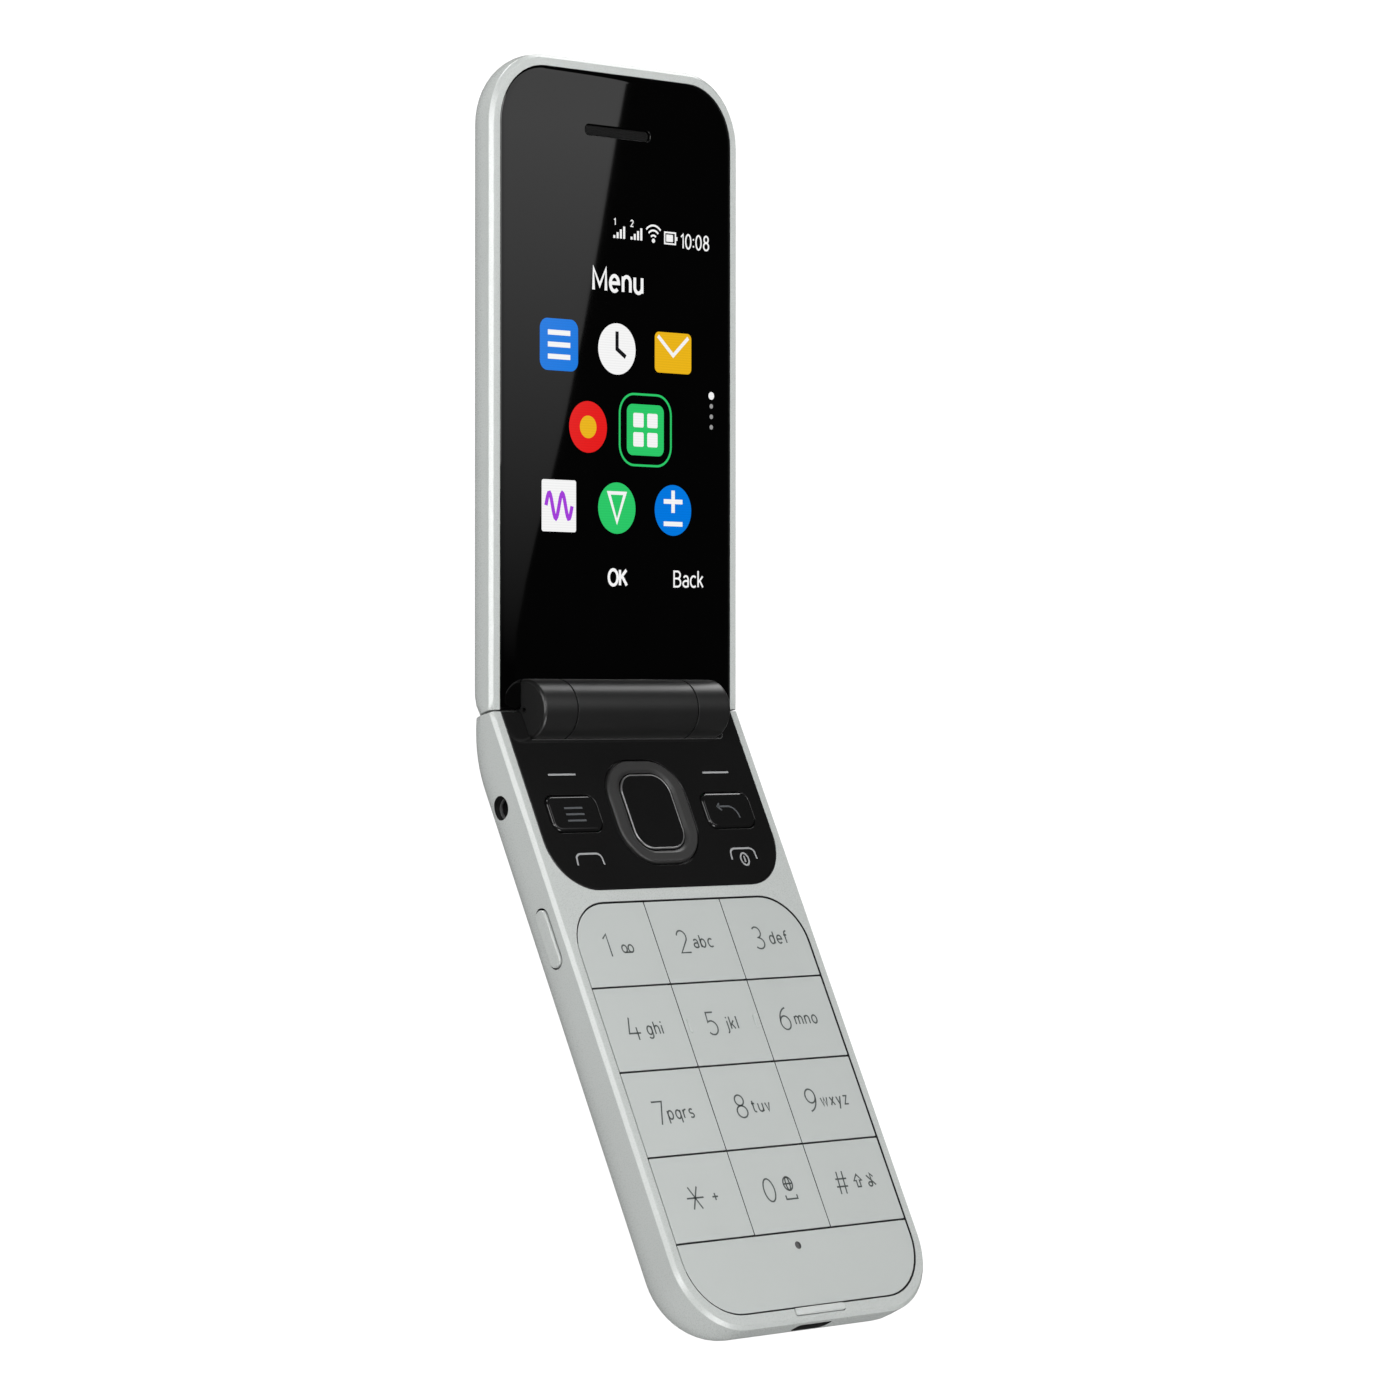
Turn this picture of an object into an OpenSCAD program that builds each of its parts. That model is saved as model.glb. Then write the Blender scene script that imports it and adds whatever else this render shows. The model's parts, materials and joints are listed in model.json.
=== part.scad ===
// Flip phone, open on its stop and lying on its back.
// X runs to the right, Y from the bottom end towards the lid, Z out of the keypad face.
// Inside each half, y is counted from the hinge axis and is negative away from it, z is 0 on the
// face that meets the other half, and depths are counted from that face into the half.

/* [Overall] */
// Width of both halves
body_w = 54.4; // [50:0.1:62]
// Length of the base, from the hinge axis to its bottom end
base_len = 103.4; // [98:0.1:115]
// Length of the lid, from the hinge axis to its top end
lid_len = 103.2; // [98:0.1:115]
// Thickness of the base
base_t = 11; // [10:0.1:14]
// Thickness of the lid
lid_t = 7; // [6.6:0.1:9]
// Gap between the two faces when the phone is shut
closed_gap = 0.7; // [0.6:0.05:1.2]
// Angle between the two faces when the lid is on its stop
open_angle = 153.8; // [140:0.1:165]
// Gap between the two slanted hinge ends when the lid is open
end_gap = 0.58; // [0.4:0.02:1]
// Radius of the outline corners away from the hinge
corner_r = 11.5; // [9:0.1:14]
// Bevel along the front edges
edge_bevel = 0.6; // [0.3:0.05:0.9]
// Rounding of the base's back edges
base_edge_r = 7.3; // [5.5:0.1:8]
// Rounding of the lid's back edges
lid_edge_r = 5.3; // [4.5:0.1:6]
// Radius of the base's back where it rises to the hinge
hinge_back_r = 20; // [15:0.5:26]
// Length of that rise, counted from the hinge axis
hinge_back_len = 9.5; // [7:0.1:12]
// Side wall of the base
base_wall = 1.4; // [1:0.1:1.8]

/* [Fits] */
// Clearance round a piece that is fixed in its seat
seat_fit = 0.05; // [0.03:0.01:0.1]
// Clearance round a piece that travels in an opening
slide_fit = 0.2; // [0.15:0.01:0.3]
// Radial running clearance of the hinge shaft and sleeve
run_fit = 0.05; // [0.03:0.01:0.08]
// Radial gap between the hinge barrel and the pocket round it
pocket_fit = 0.3; // [0.25:0.05:0.5]

/* [Keypad] */
// Rim between the side of the base and the keypad
pad_rim = 2.2; // [1.9:0.05:3]
// Rim between the bottom end of the base and the chin plate
end_rim = 2.25; // [2:0.05:3]
// Strip of the housing between the control panel and the keypad
bridge_w = 2.35; // [2:0.05:4]
// Length of the chin plate below the keys
chin_l = 12.13; // [10:0.01:14]
// Radius of the keypad's upper corners
pad_top_r = 8; // [6:0.1:9]
// Groove between two rows
row_groove = 0.45; // [0.3:0.01:0.6]
// Groove between two columns
col_groove = 0.18; // [0.15:0.01:0.3]
// Groove round the whole keypad
pad_groove = 0.22; // [0.15:0.01:0.3]
// How far the keys lie below the face
key_drop = 0.08; // [0.05:0.01:0.15]
// Thickness of a key
key_t = 0.87; // [0.7:0.01:1]
// Travel of every key
key_travel = 0.25; // [0.15:0.01:0.3]
// Room under a pressed key
press_room = 0.1; // [0.08:0.01:0.2]
// Thickness of the rubber key mat
mat_t = 0.45; // [0.3:0.01:0.6]
// Height of the mat's pressing nubs
nub_h = 0.2; // [0.15:0.01:0.3]
// Radius of the pressing nubs
nub_r = 1.2; // [0.8:0.1:1.6]
// Height of a dome switch
dome_h = 0.25; // [0.2:0.01:0.35]
// Radius of a dome switch
dome_r = 2; // [1.5:0.1:2.2]
// Thickness of the circuit board
board_t = 0.7; // [0.6:0.05:1]
// Radius of the microphone hole
mic_hole_r = 0.4; // [0.3:0.05:0.6]
// Distance of the microphone hole below the last row of keys
mic_drop = 2.25; // [2:0.05:3]

/* [Controls] */
// Rim between the side of the base and the control panel
panel_rim = 2.06; // [1.8:0.02:3]
// Lower edge of the control panel, counted from the hinge axis
panel_end = 30.87; // [29.5:0.01:34]
// Radius of the panel's lower corners
panel_r = 8.5; // [7:0.1:9]
// Thickness of the control panel
panel_t = 0.9; // [0.8:0.02:1]
// Width of the direction ring
ring_w = 16.9; // [15.5:0.1:18]
// Length of the direction ring
ring_l = 17.8; // [16.5:0.1:19]
// Corner radius of the direction ring
ring_r = 6.5; // [5.5:0.1:7.5]
// Centre of the ring, counted from the hinge axis
ring_y = 17.85; // [17:0.05:18.5]
// Height of the ring above the panel
ring_rise = 0.4; // [0.2:0.05:0.4]
// Width of the centre key
ok_w = 10.8; // [10:0.1:11.5]
// Length of the centre key
ok_l = 13; // [12:0.1:13.5]
// Corner radius of the centre key
ok_r = 3.4; // [2.5:0.1:4.5]
// Height of the centre key above the panel
ok_rise = 0.2; // [0:0.05:0.4]
// Tilt of the ring each way
ring_tilt = 1; // [0.6:0.1:1.1]
// Gap between the ring and the keys beside it
menu_gap = 3.15; // [2.5:0.05:4]
// Gap between the keys beside the ring and the edge of the panel
menu_edge = 2.94; // [2.4:0.02:4]
// Length of the keys beside the ring
menu_l = 6.1; // [5:0.1:7]
// Corner radius of the keys beside the ring
menu_r = 1.7; // [1:0.1:2.2]
// Height of the keys beside the ring above the panel
menu_rise = 0.3; // [0.1:0.05:0.5]
// Length of the left side key
side_key_l = 9.5; // [8:0.1:11]
// Length of the volume rocker
volume_l = 18; // [16:0.1:19]
// Height of both side keys across the wall
side_key_h = 2.6; // [2.2:0.1:2.8]
// How far the side keys stand out of the wall
side_key_rise = 0.35; // [0.32:0.01:0.5]
// Centre of both side keys, counted from the hinge axis
side_key_y = 37.25; // [36:0.05:40]
// Depth of both side keys below the face
side_key_depth = 3.6; // [3.4:0.05:4]

/* [Sockets] */
// Radius of the headphone socket's bore
jack_r = 1.8; // [1.75:0.01:1.85]
// Length of the headphone socket's bore
jack_l = 12; // [11:0.1:12.5]
// Thickness of the headphone socket's body
jack_h = 4.1; // [4:0.05:4.4]
// Width of the headphone socket's body
jack_w = 6.2; // [5.5:0.1:7]
// Centre of the headphone socket, counted from the hinge axis
jack_y = 14.5; // [14:0.1:16]
// Width of the charging socket's shell
usb_w = 7.5; // [7.2:0.1:8]
// Height of the charging socket's shell
usb_h = 2.5; // [2.4:0.05:2.7]
// Length of the charging socket's shell
usb_l = 6.9; // [6:0.1:7.5]
// Sheet of the charging socket's shell
usb_sheet = 0.3; // [0.2:0.02:0.4]
// Depth of the charging socket's centre below the face
usb_depth = 3.1; // [3:0.05:3.3]

/* [Hinge] */
// Radius of the hinge barrel
barrel_r = 4.85; // [4.6:0.05:5.2]
// Shoulder between the end of the barrel and the side of the phone
shoulder_w = 6.63; // [6:0.01:8]
// Length of the left lid knuckle
knuckle_left_l = 7.17; // [6.5:0.01:8.5]
// Length of the right lid knuckle
knuckle_right_l = 7.5; // [6.5:0.01:8.5]
// Gap between two knuckles
seam_gap = 0.2; // [0.15:0.01:0.3]
// Radius of the hinge shaft
shaft_r = 1.5; // [1.3:0.05:1.7]
// Outer radius of the hinge module's can
can_r = 3.55; // [3.4:0.05:3.8]
// Length of the hinge module's can
can_l = 14.5; // [13:0.1:15.5]
// Wall of the hinge module's can
can_wall = 0.5; // [0.4:0.05:0.6]
// Outer radius of the hollow sleeve that carries the flat cable
sleeve_r = 2.6; // [2.4:0.05:2.8]
// Wall of the hollow sleeve
sleeve_wall = 0.5; // [0.4:0.05:0.6]
// Wire of the hinge spring
spring_wire = 0.6; // [0.5:0.05:0.7]
// Turns of the hinge spring
spring_turns = 6; // [4:1:8]

/* [Screen] */
// Rim between the side of the lid and the glass
glass_rim = 2; // [1.7:0.05:3]
// Rim between the top end of the lid and the glass
glass_end_rim = 1.9; // [1.7:0.05:3]
// Thickness of the glass
glass_t = 1; // [0.8:0.05:1.2]
// Ledge that the glass is glued to
glass_ledge = 1.5; // [1.2:0.1:2]
// Room beside the display module
display_side = 0.7; // [0.4:0.05:2]
// Room between the display module and the earpiece
display_top_room = 8.6; // [6:0.1:12]
// Width of the earpiece's body
earpiece_w = 5; // [4:0.1:6]
// How far the earpiece's body reaches past its slot, both ends together
earpiece_over = 1.5; // [1:0.1:3]
// Thickness of the display module
display_t = 2.4; // [2:0.05:2.6]
// Lower edge of the display module, counted from the hinge axis
display_y = 15; // [14:0.1:17]
// Length of the earpiece slot
slot_l = 14.3; // [12:0.1:16]
// Height of the earpiece slot
slot_h = 1.7; // [1.3:0.05:2]
// Distance of the earpiece slot from the top end of the lid
slot_drop = 11.1; // [10:0.1:12]
// Thickness of the lid's inner plate
lid_plate_t = 0.8; // [0.6:0.05:1]
// Thickness of the lid's back cover
lid_cover_t = 1.5; // [1.3:0.05:1.8]
// Width of the outer window
window_w = 30; // [26:0.5:36]
// Length of the outer window
window_l = 23; // [20:0.5:30]
// Thickness of the outer window
window_t = 0.7; // [0.6:0.05:0.9]
// Distance of the outer window's centre from the top end of the lid
window_drop = 45.2; // [42:0.1:52]
// Rim of the outer window round its display
window_rim = 2; // [1.6:0.1:4]
// Radius of the camera's cover glass
lens_r = 3.2; // [2.8:0.1:4]
// Distance of the camera from the top end of the lid
camera_drop = 21.2; // [18:0.1:23]
// Width of the camera module
camera_w = 7; // [6.5:0.1:8]
// Distance between the camera and its flash
flash_x = 9; // [8:0.5:12]
// Radius of the flash lens
flash_r = 1.5; // [1.2:0.1:2]

/* [Inside] */
// Inner plate of the base, under the board
mid_t = 0.7; // [0.6:0.05:0.9]
// Height of the posts that carry the board
post_h = 0.8; // [0.6:0.05:1]
// Thickness of the rear cover's rim
cover_rim = 2; // [1.8:0.05:2.4]
// Thickness of the rear cover's skin
cover_t = 1.2; // [1:0.05:1.4]
// Width of the battery
battery_w = 38; // [34:0.5:39]
// Length of the loudspeaker
speaker_l = 8.35; // [7.5:0.05:10]
// Room between the battery and the loudspeaker
tail_room = 1; // [0.5:0.1:2]
// Thickness of the loudspeaker
speaker_t = 3; // [2:0.1:3.5]
// Thickness of the vibration motor
motor_t = 2.7; // [2:0.1:3.2]
// Height of the screening can
shield_h = 1.6; // [1.2:0.1:2]
// Length of the screening can
shield_l = 9.6; // [8:0.1:10]
// Room between the screening can and the headphone socket
shield_room = 1.2; // [0.5:0.1:3]
// Height of the card reader
reader_h = 1.9; // [1.6:0.1:2.4]
// Room between the card reader and the sides of the board
reader_side = 6; // [4:0.5:8]
// Width of a card slot
card_w = 12.6; // [12:0.1:13]
// Radius of the vibration motor
motor_r = 4; // [3.5:0.1:4.2]
// Width of the loudspeaker
speaker_w = 16; // [14:0.5:17]
// Radius of a screw's thread
screw_r = 0.6; // [0.5:0.05:0.7]
// Radius of a screw's head
screw_head_r = 1.2; // [1.05:0.05:1.3]
// Height of a screw's head
screw_head_h = 0.4; // [0.3:0.02:0.45]
// Width of the bumper that the lid shuts on
bumper_w = 10.6; // [8:0.1:12]
// Height of the bumper above the face
bumper_rise = 0.45; // [0.3:0.05:0.5]

/* [Hidden] */
$fn = 64;
// Over-length of cutting shapes
cut = 1;
half_w = body_w / 2;
// Lift of the hinge axis over both faces, and tilt of the open lid above the base
axis_rise = closed_gap / 2;
lid_tilt = 180 - open_angle;
hinge_y = base_len / 2;
end_slope = tan(lid_tilt / 2);
end_half = end_gap / 2 / cos(lid_tilt / 2);
// How far the cutting prisms reach past the hinge axis
reach = 6;
lid_back_len = 2.6;

// Depths of the base's layers
mat_top = key_drop + key_t + key_travel + press_room;
mat_bottom = mat_top + mat_t;
dome_top = mat_bottom + nub_h;
board_top = dome_top + dome_h;
board_bottom = board_top + board_t;
mid_top = board_bottom + post_h;
mid_bottom = mid_top + mid_t;
pad_depth = mat_top + 0.1;
front_t = board_top - screw_head_h - seat_fit;
cover_split = base_t - cover_rim;
battery_room = 0.1;
battery_t = cover_split - mid_bottom - battery_room;

// Places on the base
pad_hw = half_w - pad_rim;
pad_top = panel_end + bridge_w;
pad_bottom = base_len - end_rim;
pad_bottom_r = corner_r - pad_rim;
chin_top = pad_bottom - chin_l;
row_pitch = (chin_top - pad_top) / 4;
col_pitch = 2 * pad_hw / 3;
pad_ledge = 1.2;
panel_hw = half_w - panel_rim;
panel_top = 0.5;
panel_ledge = 1.2;
ring_gap = 0.3;
ok_gap = 0.25;
menu_in = ring_w / 2 + menu_gap;
menu_out = panel_hw - menu_edge;
menu_w = menu_out - menu_in;
menu_x = (menu_in + menu_out) / 2;
ring_t = panel_t + 0.05;
carrier_t = 0.3;
carrier_rim = 1.3;
carrier_room = 0.13;
carrier_top = panel_t + carrier_room + tan(ring_tilt) * (ring_l / 2 + carrier_rim);
stem_r = 1.3;
stem_end = dome_top - key_travel - 0.05;

barrel_half = half_w - shoulder_w;
barrel_pocket_r = barrel_r + pocket_fit;
seam_left = -barrel_half + knuckle_left_l;
seam_right = barrel_half - knuckle_right_l;
centre_x0 = seam_left + seam_gap / 2;
centre_x1 = seam_right - seam_gap / 2;
hinge_wall = 1.2;
room_y = barrel_pocket_r + hinge_wall;
foot_y = barrel_r + slide_fit;
foot_corner_r = 0.8;
tongue_in = 1.5;
tongue_start = 1.5;
tongue_end = 10;
tongue_top = board_bottom + 0.05;
tongue_bottom = tongue_top + 1.25;
lid_tongue_end = 12;
lid_tongue_top = glass_t + 0.2;
can_x0 = centre_x0 + 0.5;
can_x1 = can_x0 + can_l;
can_cap = 1.2;
cam_r = can_r - can_wall - 0.3;
cam_t = 1.5;
cam_x0 = can_x0 + can_cap + 0.2;
key_side = 1.4 * shaft_r;
spring_r = (shaft_r + can_r - can_wall) / 2;
spring_x0 = cam_x0 + cam_t + spring_wire;
spring_x1 = can_x1 - can_cap - spring_wire;

board_hw = half_w - base_wall - 1.8;
board_y0 = room_y + 0.6;
usb_y0 = base_len - 0.15 - usb_l;
cover_y = hinge_back_len - 0.5;
boss_r = 2;
boss_places = [for (side = [-1, 1], place = [[board_hw - 2.3, panel_end + bridge_w / 2],
    [board_hw - 3.2, chin_top + 2.5]]) [side * place[0], -place[1]]];
mid_y0 = panel_end + 0.1;
mid_y1 = usb_y0 + 0.5;
jack_depth = board_bottom + seat_fit + jack_h / 2;
jack_mouth = half_w - base_wall + 0.3;
jack_nose_r = jack_h / 2;
jack_body_x = half_w - base_edge_r + 4.4;
battery_y0 = mid_y0 + 2.2;
tail_y0 = mid_y1 - 0.3 - speaker_l;
battery_l = tail_y0 - tail_room - battery_y0;
shield_y0 = tongue_end + 0.6;
shield_x0 = -jack_mouth + jack_l + 0.8 + shield_room;
reader_y0 = shield_y0 + shield_l + 0.8;

glass_hw = half_w - glass_rim;
glass_end = lid_len - glass_end_rim;
glass_r = corner_r - glass_rim;
display_w = 2 * (glass_hw - glass_ledge - display_side);
lid_room_t = glass_t + 0.05 + display_t + 0.05;
lid_plate_bottom = lid_room_t + lid_plate_t;
lid_split = lid_t - lid_cover_t;
slot_y = lid_len - slot_drop;
display_l = slot_y - earpiece_w / 2 - display_top_room - display_y;
window_y = lid_len - window_drop;
camera_y = lid_len - camera_drop;
lid_room_y = room_y;
lid_room_end = glass_end - glass_ledge;
lid_board_t = 0.6;
lid_boss_r = 1.9;
lid_boss_sunk = 0.3;
cover_boss_r = lid_boss_r - lid_boss_sunk - 2 * seat_fit;
lid_screw_places = [for (side = [-1, 1], place = [
    [glass_hw - glass_ledge - lid_boss_r + lid_boss_sunk, lid_tongue_end],
    [glass_hw - glass_ledge - lid_boss_r - 4.8, lid_room_end - 3]]) [side * place[0], -place[1]]];

SHELL = [0.73, 0.74, 0.73];
BLACK = [0.04, 0.04, 0.045];
SATIN = [0.2, 0.2, 0.2];
METAL = [0.72, 0.73, 0.75];
BOARD = [0.1, 0.3, 0.2];
RUBBER = [0.55, 0.57, 0.56];
GOLD = [0.8, 0.66, 0.35];

KEYS = ["key_1", "key_2", "key_3", "key_4", "key_5", "key_6",
    "key_7", "key_8", "key_9", "key_star", "key_0", "key_hash"];

// Places

module on_base() {
    translate([0, hinge_y, base_t]) children();
}

module on_lid() {
    translate([0, hinge_y, base_t + axis_rise])
        rotate([lid_tilt, 0, 0])
            translate([0, 0, -axis_rise])
                mirror([0, 1, 0]) children();
}

// Shapes that repeat

module plate(top, bottom) {
    translate([0, 0, -bottom]) linear_extrude(bottom - top) children();
}

module along_x(x0, x1) {
    translate([x0, 0, 0]) rotate([90, 0, 90]) linear_extrude(x1 - x0) children();
}

module along_y(y0, y1) {
    translate([0, y1, 0]) rotate([90, 0, 0]) linear_extrude(y1 - y0) children();
}

module rod(x0, x1, r) {
    translate([0, 0, axis_rise]) along_x(x0, x1) circle(r);
}

module round_rect(w, l, r) {
    square([w - 2 * r, l], center = true);
    square([w, l - 2 * r], center = true);
    for (sx = [-1, 1], sy = [-1, 1])
        translate([sx * (w / 2 - r), sy * (l / 2 - r)]) circle(r);
}

// Outline with square corners at y1 and round ones at y0, the end away from the hinge
module end_rect(hw, y0, y1, r) {
    translate([-hw, y0 + r]) square([2 * hw, y1 - y0 - r]);
    translate([-hw + r, y0]) square([2 * (hw - r), r]);
    for (s = [-1, 1]) translate([s * (hw - r), y0 + r]) circle(r);
}

module bevel_profile(at) {
    polygon([[at - edge_bevel - cut, cut], [at + cut, cut], [at + cut, -edge_bevel - cut]]);
}

// One half of the phone, drawn in from its surface by inset: outline, cross-section and side
// profile meet in one solid
module half_solid(len, t, edge_r, back_r, back_len, inset, top, bottom) {
    r = edge_r - inset;
    floor_z = -(t - inset);
    end_y = -(len - inset);
    intersection() {
        plate(top, bottom) end_rect(half_w - inset, end_y, reach, corner_r - inset);
        along_y(-len - cut, reach + cut) union() {
            translate([-half_w + inset, floor_z + r]) square([body_w - 2 * inset, -floor_z - r + cut]);
            translate([-half_w + inset + r, floor_z]) square([body_w - 2 * inset - 2 * r, r]);
            for (s = [-1, 1]) translate([s * (half_w - inset - r), floor_z + r]) circle(r);
        }
        along_x(-half_w - cut, half_w + cut) difference() {
            polygon([[end_y, cut], [end_slope * (axis_rise - cut) - end_half, cut],
                [end_slope * (t + axis_rise) - end_half, -t], [end_y, -t]]);
            difference() {
                translate([end_y - cut, -t - cut]) square(r + cut + inset);
                translate([end_y + r, floor_z + r]) circle(r);
            }
            difference() {
                translate([-back_len, -t - cut]) square([back_len + reach, min(back_r, t) + cut]);
                translate([-back_len, -t + back_r]) circle(back_r - inset);
            }
        }
    }
}

module base_solid(inset, top, bottom) {
    half_solid(base_len, base_t, base_edge_r, hinge_back_r, hinge_back_len, inset, top, bottom);
}

module lid_solid(inset, top, bottom) {
    half_solid(lid_len, lid_t, lid_edge_r, lid_edge_r, lid_back_len, inset, top, bottom);
}

// Bevel cut along the sides, the far end and the two round corners
module front_bevel(len) {
    for (s = [0, 1]) mirror([s, 0, 0]) {
        along_y(-(len - corner_r), reach) bevel_profile(half_w);
        translate([half_w - corner_r, -(len - corner_r), 0]) rotate([0, 0, -90])
            rotate_extrude(angle = 90) bevel_profile(corner_r);
    }
    along_x(-(half_w - corner_r), half_w - corner_r) mirror([1, 0]) bevel_profile(len);
}

module pad_outline(grow) {
    intersection() {
        end_rect(pad_hw + grow, -(pad_bottom + grow), -pad_top + grow, pad_bottom_r + grow);
        mirror([0, 1]) end_rect(pad_hw + grow, pad_top - grow, pad_bottom + grow, pad_top_r + grow);
    }
}

module foot_notch() {
    translate([-barrel_half - pocket_fit, -foot_y + foot_corner_r])
        square([2 * (barrel_half + pocket_fit), foot_y]);
    translate([-barrel_half - pocket_fit + foot_corner_r, -foot_y])
        square([2 * (barrel_half + pocket_fit - foot_corner_r), foot_y]);
    for (s = [-1, 1])
        translate([s * (barrel_half + pocket_fit - foot_corner_r), -foot_y + foot_corner_r])
            circle(foot_corner_r);
}

module panel_outline(grow) {
    end_rect(panel_hw + grow, -(panel_end + grow), -panel_top + grow, panel_r + grow);
}

module barrel_pocket() {
    rod(-barrel_half - pocket_fit, barrel_half + pocket_fit, barrel_pocket_r);
}

module side_slot(l, h) {
    round_rect(l, h, h / 2 - 0.01);
}

module screw(top, bottom) {
    translate([0, 0, -top]) cylinder(h = screw_head_h, r = screw_head_r);
    translate([0, 0, -bottom]) cylinder(h = bottom - top, r = screw_r);
}

// Base

module base_housing() color(SHELL) on_base() difference() {
    union() {
        difference() {
            base_solid(0, 0, base_t);
            plate(cover_split, base_t + cut)
                translate([-half_w - cut, -base_len - cut])
                    square([body_w + 2 * cut, base_len + cut - cover_y]);
            intersection() {
                base_solid(base_wall, front_t, cover_split + cut);
                plate(front_t, cover_split + cut)
                    translate([-half_w, -base_len]) square([body_w, base_len - room_y]);
            }
        }
        intersection() {
            base_solid(base_wall / 2, mid_top, mid_bottom);
            plate(mid_top, mid_bottom)
                translate([-half_w, -mid_y1]) square([body_w, mid_y1 - mid_y0]);
        }
        for (p = boss_places) translate([p[0], p[1], -mid_bottom])
            cylinder(h = mid_bottom - board_bottom, r = boss_r);
    }
    front_bevel(base_len);
    plate(-cut, panel_t + seat_fit) panel_outline(seat_fit);
    plate(0, front_t + cut) difference() {
        panel_outline(-panel_ledge);
        translate([-half_w, -room_y]) square([body_w, room_y]);
    }
    plate(-cut, pad_depth) pad_outline(pad_groove);
    plate(0, front_t + cut) pad_outline(-pad_ledge);
    barrel_pocket();
    plate(tongue_top - seat_fit, tongue_bottom + seat_fit)
        translate([centre_x0 + tongue_in - seat_fit, -room_y - cut])
            square([centre_x1 - centre_x0 - 2 * (tongue_in - seat_fit),
                room_y + cut - tongue_start + seat_fit]);
    translate([0, -jack_y, -jack_depth]) {
        along_x(-half_w - cut, -jack_mouth) circle(jack_r);
        along_x(-jack_mouth - seat_fit, -jack_body_x + cut) circle(jack_nose_r + seat_fit);
    }
    translate([0, 0, -usb_depth]) along_y(-base_len - cut, -usb_y0)
        square([usb_w + 2 * seat_fit, usb_h + 2 * seat_fit], center = true);
    translate([0, -side_key_y, -side_key_depth]) {
        along_x(-half_w - cut, -half_w + base_wall + cut)
            side_slot(side_key_l + 2 * slide_fit, side_key_h + 2 * slide_fit);
        along_x(half_w - base_wall - cut, half_w + cut)
            side_slot(volume_l + 2 * slide_fit, side_key_h + 2 * slide_fit);
    }
    plate(-cut, 0.5 + seat_fit) bumper_outline(seat_fit);
    for (p = boss_places) translate([p[0], p[1], -mid_bottom - cut])
        cylinder(h = mid_bottom - board_bottom + 2 * cut, r = screw_r);
}

module rear_cover() color(SHELL) on_base() difference() {
    intersection() {
        base_solid(0, cover_split + seat_fit, base_t);
        plate(cover_split, base_t + cut) translate([-half_w - cut, -base_len - cut])
            square([body_w + 2 * cut, base_len + cut - cover_y - slide_fit]);
    }
    plate(cover_split - cut, base_t - cover_t)
        translate([0, -(cover_y + base_len) / 2])
            round_rect(body_w - 2 * base_edge_r, base_len - cover_y - 2 * base_edge_r, 3);
    for (i = [-2:2]) plate(cover_split - cut, base_t + cut)
        translate([3 * i, -(tail_y0 + speaker_l / 2)]) round_rect(1.2, 5, 0.55);
}

module control_panel() color(BLACK) on_base() plate(0, panel_t) difference() {
    panel_outline(0);
    foot_notch();
    translate([0, -ring_y]) round_rect(ring_w + 2 * ring_gap, ring_l + 2 * ring_gap, ring_r + ring_gap);
    for (s = [-1, 1]) translate([s * menu_x, -ring_y])
        round_rect(menu_w + 2 * slide_fit, menu_l + 2 * slide_fit, menu_r + slide_fit);
}

module chin_plate() color(SHELL) on_base() difference() {
    plate(key_drop, pad_depth) intersection() {
        pad_outline(0);
        translate([-half_w, -base_len]) square([body_w, base_len - chin_top - row_groove / 2]);
    }
    translate([0, -chin_top - mic_drop, -pad_depth - cut])
        cylinder(h = pad_depth + 2 * cut, r = mic_hole_r);
}

// Keys count from the top left, three in a row; grooves lie only between them
function key_column(i) = i % 3;
function key_row(i) = floor(i / 3);
function key_centre(i) = [(key_column(i) - 1) * col_pitch, -pad_top - (key_row(i) + 0.5) * row_pitch];

module key_cell(i) {
    x0 = -pad_hw + key_column(i) * col_pitch + (key_column(i) > 0 ? col_groove / 2 : 0);
    x1 = -pad_hw + (key_column(i) + 1) * col_pitch - (key_column(i) < 2 ? col_groove / 2 : 0);
    y0 = -pad_top - (key_row(i) + 1) * row_pitch + row_groove / 2;
    y1 = -pad_top - key_row(i) * row_pitch - (key_row(i) > 0 ? row_groove / 2 : 0);
    intersection() {
        pad_outline(0);
        translate([x0, y0]) square([x1 - x0, y1 - y0]);
    }
}

module key_cap(i) color(SHELL) on_base() plate(key_drop, key_drop + key_t) key_cell(i);

module key_mat() color(RUBBER) on_base() {
    plate(mat_top, mat_bottom) intersection() {
        pad_outline(-pad_ledge - slide_fit);
        translate([-half_w, -chin_top]) square([body_w, base_len]);
    }
    for (i = [0:11]) translate(key_centre(i)) plate(mat_bottom, dome_top) circle(nub_r);
}

dome_places = concat([for (i = [0:11]) key_centre(i)],
    [for (s = [-1, 1], y = [ring_y - 6.7, ring_y, ring_y + 7.7]) [s * menu_x, -y]],
    [[0, -ring_y], [0, -ring_y + ring_l / 2 - 2.2], [0, -ring_y - ring_l / 2 + 2.2]],
    [for (s = [-1, 1]) [s * (ring_w / 2 - 1.9), -ring_y]]);

module dome_switches() color(METAL) on_base()
    for (p = dome_places) translate([p[0], p[1], -board_top])
        cylinder(h = dome_h, r1 = dome_r, r2 = nub_r);

module board_outline() {
    difference() {
        intersection() {
            translate([-board_hw, -usb_y0]) square([2 * board_hw, usb_y0 - board_y0]);
            end_rect(board_hw, -(base_len - base_wall - 1.8), -board_y0 + cut, corner_r - base_wall - 1.8);
        }
        for (p = boss_places) translate(p) circle(screw_r + seat_fit);
    }
}

module main_board() color(BOARD) on_base() plate(board_top, board_bottom) board_outline();

module shield_can() color(METAL) on_base() plate(board_bottom, board_bottom + shield_h)
    translate([(shield_x0 + board_hw - 1) / 2, -shield_y0 - shield_l / 2])
        round_rect(board_hw - 1 - shield_x0, shield_l, 0.8);

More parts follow.
